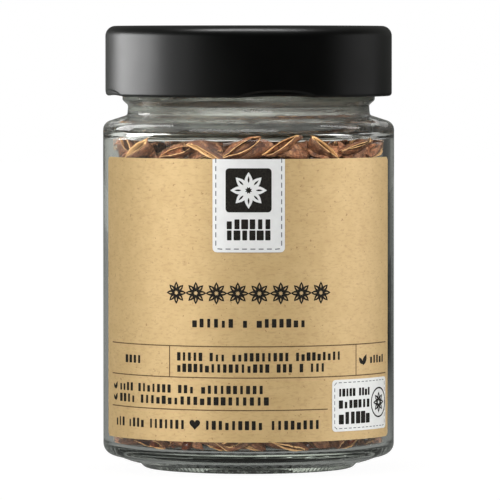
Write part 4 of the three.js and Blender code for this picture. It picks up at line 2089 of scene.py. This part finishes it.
    def core(self) -> Piece:
        """Make the lumpy mass in the middle that nothing is seen through; its near-black colour is painted
        shade.
        """
        low = self.floor + 0.5
        corners = [(0.0, low, 0.0), (20.0, low, 2.0), (21.5, 30.0, 0.0), (21.0, 64.0, 6.0), (0.0, 72.0, 0.0)]
        outline = refined(filleted(corners), 0, 90, 2.0)
        points, faces = lathe(outline, 72)
        swell = np.array([2.4 * noise.noise(Vector(p) * 0.22) for p in points])
        points = pushed_out(points, np.where(np.hypot(points[:, 0], points[:, 1]) > 1, swell, 0))
        piece = make_piece("star_anise_core", points, faces, Edge.SMOOTH)
        # Its near-black browns are painted shade that stands for the heap's shaded depths, not a darker husk.
        piece.data.materials.append(RawPart("deep husk", srgb(52, 34, 24), srgb(26, 18, 13)).make())
        return piece

    def build(self) -> None:
        """Make every part of the filling and hand it over."""
        husk, shell = Husk().make(), SeedShell().make()
        dice = Dice(self.seed)
        outer = self.outer_pods(dice)
        loose = self.loose(dice, self.loose_rings, 0.6)
        inner = self.inner_pods()
        deep_rings = (
            (16, 25.5, 8.6),
            (14, 26.5, 12.5),
            (9, 27.0, 27.0),
            (9, 27.0, 45.0),
            (9, 27.0, 62.5),
            (14, 24.0, 77.5),
            (14, 26.5, 81.4),
        )
        deeper = self.loose(Dice(self.seed + 2), deep_rings, 1.5)
        at_wall = ((18, 32.6, 8.4), (20, 32.6, 82.6))
        deeper += self.loose(Dice(self.seed + 3), at_wall, 1.2, (0.7, 2.3))
        half = len(outer) // 2
        carpel, seed, hub = PodPart.CARPEL, PodPart.SEED, PodPart.HUB
        made = [
            self.piece("star_anise_broken", [], carpel, husk, 103, loose=loose + deeper),
            self.piece("star_anise_inner", inner, carpel, husk, 202, SEEN_BEHIND),
            self.piece("star_anise_hubs", outer + inner, hub, husk, 303),
            self.core(),
        ]
        for end, pods, draw in (("lower", outer[:half], 101), ("upper", outer[half:], 102)):
            made.append(self.piece(f"star_anise_{end}", pods, carpel, husk, draw))
            made.append(self.piece(f"star_anise_seeds_{end}", pods, seed, shell, draw))
        for piece in made:
            hand_over(piece, Slot.HEAP, Slot.HEAP.value)


def facing_out(piece: Piece) -> None:
    """Turn the faces of a closed piece outwards."""
    mesh = bmesh.new()
    mesh.from_mesh(piece.data)
    bmesh.ops.recalc_face_normals(mesh, faces=mesh.faces)
    mesh.to_mesh(piece.data)
    mesh.free()


@dataclass(frozen=True)
class Softbox:
    """A rectangular studio light that faces the jar and falls on some of its pieces."""

    name: str
    azimuth: float
    distance: float
    height: float
    width: float
    tall: float
    power: float
    falls_on: tuple[Slot, ...]
    passes_glass: bool = False


PAPER = (Slot.LABEL, Slot.TAG, Slot.STICKER)
INSIDE = (Slot.HEAP, Slot.SEAL)


@dataclass
class Studio:
    """A white floor, a grey room for the glass to show, soft lights and the camera."""

    camera_distance: float = 1.581
    camera_height: float = 0.1199
    aim: Vector = field(default_factory=lambda: Vector((0.00036, 0.0, 0.0559)))
    lit_point: Vector = field(default_factory=lambda: Vector((0.0, 0.0, 0.06)))
    view_width: float = 0.129
    sensor: float = 36.0
    floor_half: float = 3000.0
    lean: float = 3.2
    room_front: Colour = srgb(40, 40, 39)
    room_back: Colour = srgb(100, 101, 98)
    seen_front: Colour = srgb(66, 67, 65)
    seen_back: Colour = srgb(180, 183, 176)
    lights: tuple[Softbox, ...] = (
        Softbox("lid_left", -104.0, 0.7, 0.0, 0.66, 0.6, 8.0, (Slot.LID,)),
        Softbox("lid_left_soft", -66.0, 0.8, 0.0, 0.7, 0.6, 1.2, (Slot.LID,)),
        Softbox("lid_right", 98.0, 0.7, 0.0, 0.56, 0.6, 0.52, (Slot.LID,)),
        Softbox("lid_crest", 0.0, 0.14, 0.9, 0.7, 0.15, 6.0, (Slot.LID,)),
        Softbox("glass_left", -118.0, 0.6, 0.45, 0.3, 0.7, 3.5, (Slot.GLASS,)),
        Softbox("glass_right", 100.0, 0.6, 0.6, 0.2, 0.5, 1.0, (Slot.GLASS,)),
        Softbox("glass_rear", 180.0, 1.2, 0.8, 2.2, 0.9, 3.0, (Slot.GLASS,)),
        Softbox("glass_front", -12.0, 0.9, 0.4, 1.3, 0.4, 5.0, (Slot.GLASS,)),
        Softbox("paper_sheen_left", -59.0, 1.0, 0.1, 1.1, 0.8, 12.0, PAPER),
        Softbox("paper_sheen_right", 83.0, 1.0, 0.1, 1.1, 0.8, 11.4, PAPER),
        Softbox("paper_fill_left", -45.0, 0.7, 0.75, 0.5, 0.5, 6.4, PAPER),
        Softbox("paper_fill_right", 45.0, 0.7, 0.75, 0.5, 0.5, 6.4, PAPER),
        Softbox("inside_left", -50.0, 0.7, 0.5, 0.5, 0.5, 10.0, INSIDE, True),
        Softbox("inside_right", 66.0, 0.7, 0.5, 0.4, 0.5, 7.0, INSIDE, True),
        Softbox("inside_front", -8.0, 0.8, 0.04, 0.8, 0.1, 5.0, INSIDE, True),
        Softbox("inside_rear", 178.0, 0.7, 0.5, 0.6, 0.5, 11.0, INSIDE, True),
    )

    def linked(self, name: str, slots: Iterable[Slot]) -> bpy.types.Collection:
        """Gather the pieces of some slots for a light to be linked to.

        Args:
            name: The collection's name.
            slots: The slots.

        Returns:
            The collection.
        """
        gathered = bpy.data.collections.new(name)
        for slot in slots:
            for piece in PIECES[slot]:
                gathered.objects.link(piece)
        return gathered

    def light(self, box: Softbox) -> None:
        """Hang one light and link it to what it falls on and to what stands in its way.

        Args:
            box: The light.
        """
        data = bpy.data.lights.new(box.name, "AREA")
        data.shape = "RECTANGLE"
        data.size, data.size_y = box.width, box.tall
        data.energy = box.power
        lamp = in_scene(box.name, data)
        lamp.location = around(box.distance, box.azimuth, box.height)
        lamp.rotation_euler = (self.lit_point - lamp.location).to_track_quat("-Z", "Y").to_euler()
        lamp.light_linking.receiver_collection = self.linked(box.name + "_lights", box.falls_on)
        if box.passes_glass:
            shades = self.linked(box.name + "_shades", (Slot.LID, *PAPER, *INSIDE))
            lamp.light_linking.blocker_collection = shades

    def camera(self) -> None:
        """Set the camera where the photograph was taken from."""
        data = bpy.data.cameras.new("camera")
        data.sensor_width = self.sensor
        eye = Vector((self.aim.x, -self.camera_distance, self.camera_height))
        data.lens = self.sensor * (self.aim - eye).length / self.view_width
        camera = in_scene("camera", data)
        camera.location = eye
        camera.rotation_euler = (self.aim - eye).to_track_quat("-Z", "Y").to_euler()
        bpy.context.scene.camera = camera

    def room(
        self,
        sky: NodeWork,
        lean: float,
        span: tuple[float, float],
        colours: tuple[Colour, Colour],
    ) -> Socket:
        """Make a background that turns from one colour in front of the jar to another behind it.

        Args:
            sky: The world's nodes.
            lean: How much of the direction's x is taken off its y, which darkens the right.
            span: The levels where the front colour ends and the back colour starts.
            colours: The colour in front and the colour behind.

        Returns:
            The background's shader socket.
        """
        way = sky.add("ShaderNodeTexCoord").outputs["Generated"]
        x, y, _ = sky.add("ShaderNodeSeparateXYZ", {0: way}).outputs
        level = sky.maths("MULTIPLY_ADD", x, -lean, y)
        share = sky.add("ShaderNodeMapRange", {"Value": level, "From Min": span[0], "From Max": span[1]})
        ramp = sky.add("ShaderNodeValToRGB", {0: share.outputs[0]})
        for element, colour in zip(ramp.color_ramp.elements, colours):
            element.color = (*colour, 1)
        return sky.add("ShaderNodeBackground", {"Color": ramp.outputs[0]}).outputs[0]

    def surroundings(self) -> None:
        """Make the room: white to the camera, grey through the glass, darker where a surface mirrors it."""
        world = bpy.data.worlds.new("room")
        world.use_nodes = True
        sky = NodeWork(world.node_tree)
        sky.tree.nodes.clear()
        mirrored = self.room(sky, 0.0, (0.1, 0.6), (self.room_front, self.room_back))
        refracted = self.room(sky, self.lean, (-0.3, 0.9), (self.seen_front, self.seen_back))
        white = sky.add("ShaderNodeBackground", {"Color": (1.0, 1.0, 1.0)}).outputs[0]
        path = sky.add("ShaderNodeLightPath").outputs
        through = sky.add("ShaderNodeMixShader", {0: path["Is Transmission Ray"], 1: mirrored, 2: refracted})
        straight = sky.add("ShaderNodeMixShader", {0: path["Is Camera Ray"], 1: through.outputs[0], 2: white})
        sky.add("ShaderNodeOutputWorld", {0: straight.outputs[0]})
        bpy.context.scene.world = world

    def floor(self) -> None:
        """Lay the floor: white to the camera with a faint shadow, grey to the glass near the jar."""
        half = self.floor_half
        corners = [(-half, -half, 0), (half, -half, 0), (half, half, 0), (-half, half, 0)]
        floor = make_piece("studio_floor", corners, [(0, 1, 2, 3)], Edge.FLAT)
        wiring = Wiring("studio floor")
        path = wiring.add("ShaderNodeLightPath").outputs["Is Camera Ray"]
        reach = wiring.add("ShaderNodeVectorMath", {0: wiring.place}, operation="LENGTH").outputs["Value"]
        across, depth, _ = wiring.add("ShaderNodeSeparateXYZ", {0: wiring.place}).outputs
        leant = wiring.maths("MULTIPLY_ADD", across, -self.lean, depth)
        near = wiring.span(reach, 0.05, 0.5, 0.24, 0.02)
        behind = wiring.span(leant, -0.1, 0.15, 0.02, 0.26)
        glow = wiring.maths("MAXIMUM", near, behind)
        dull = wiring.add("ShaderNodeEmission", {"Color": (0.96, 1.0, 0.95), "Strength": glow})
        paper = wiring.add("ShaderNodeBsdfDiffuse", {"Color": (0.2, 0.2, 0.2)})
        bright = wiring.span(reach, 0.03, 0.06, 0.965, 1.0)
        lift = wiring.add("ShaderNodeEmission", {"Color": (1.0, 1.0, 1.0), "Strength": bright})
        pale = wiring.add("ShaderNodeAddShader", {0: paper.outputs[0], 1: lift.outputs[0]})
        seen = wiring.add("ShaderNodeMixShader", {0: path, 1: dull.outputs[0], 2: pale.outputs[0]})
        wiring.tree.links.new(seen.outputs[0], wiring.out.inputs[0])
        floor.data.materials.append(wiring.material)

    def build(self) -> None:
        """Set up the whole studio round the finished jar."""
        bpy.context.scene.view_settings.view_transform = "Standard"
        self.camera()
        self.surroundings()
        self.floor()
        for box in self.lights:
            self.light(box)


def main() -> None:
    """Build the studio and the jar."""
    logging.basicConfig(level=logging.INFO, format="%(message)s")
    jar = GlassJar()
    jar.build()
    TwistLid().build()
    PaperLabels().build()
    StarAnise(jar.bore, jar.floor, jar.floor_corner).build()
    PIECES[Slot.SEAL].append(frame["nodes"]["lid_seal"])
    Studio().build()


if __name__ == "__main__":
    main()
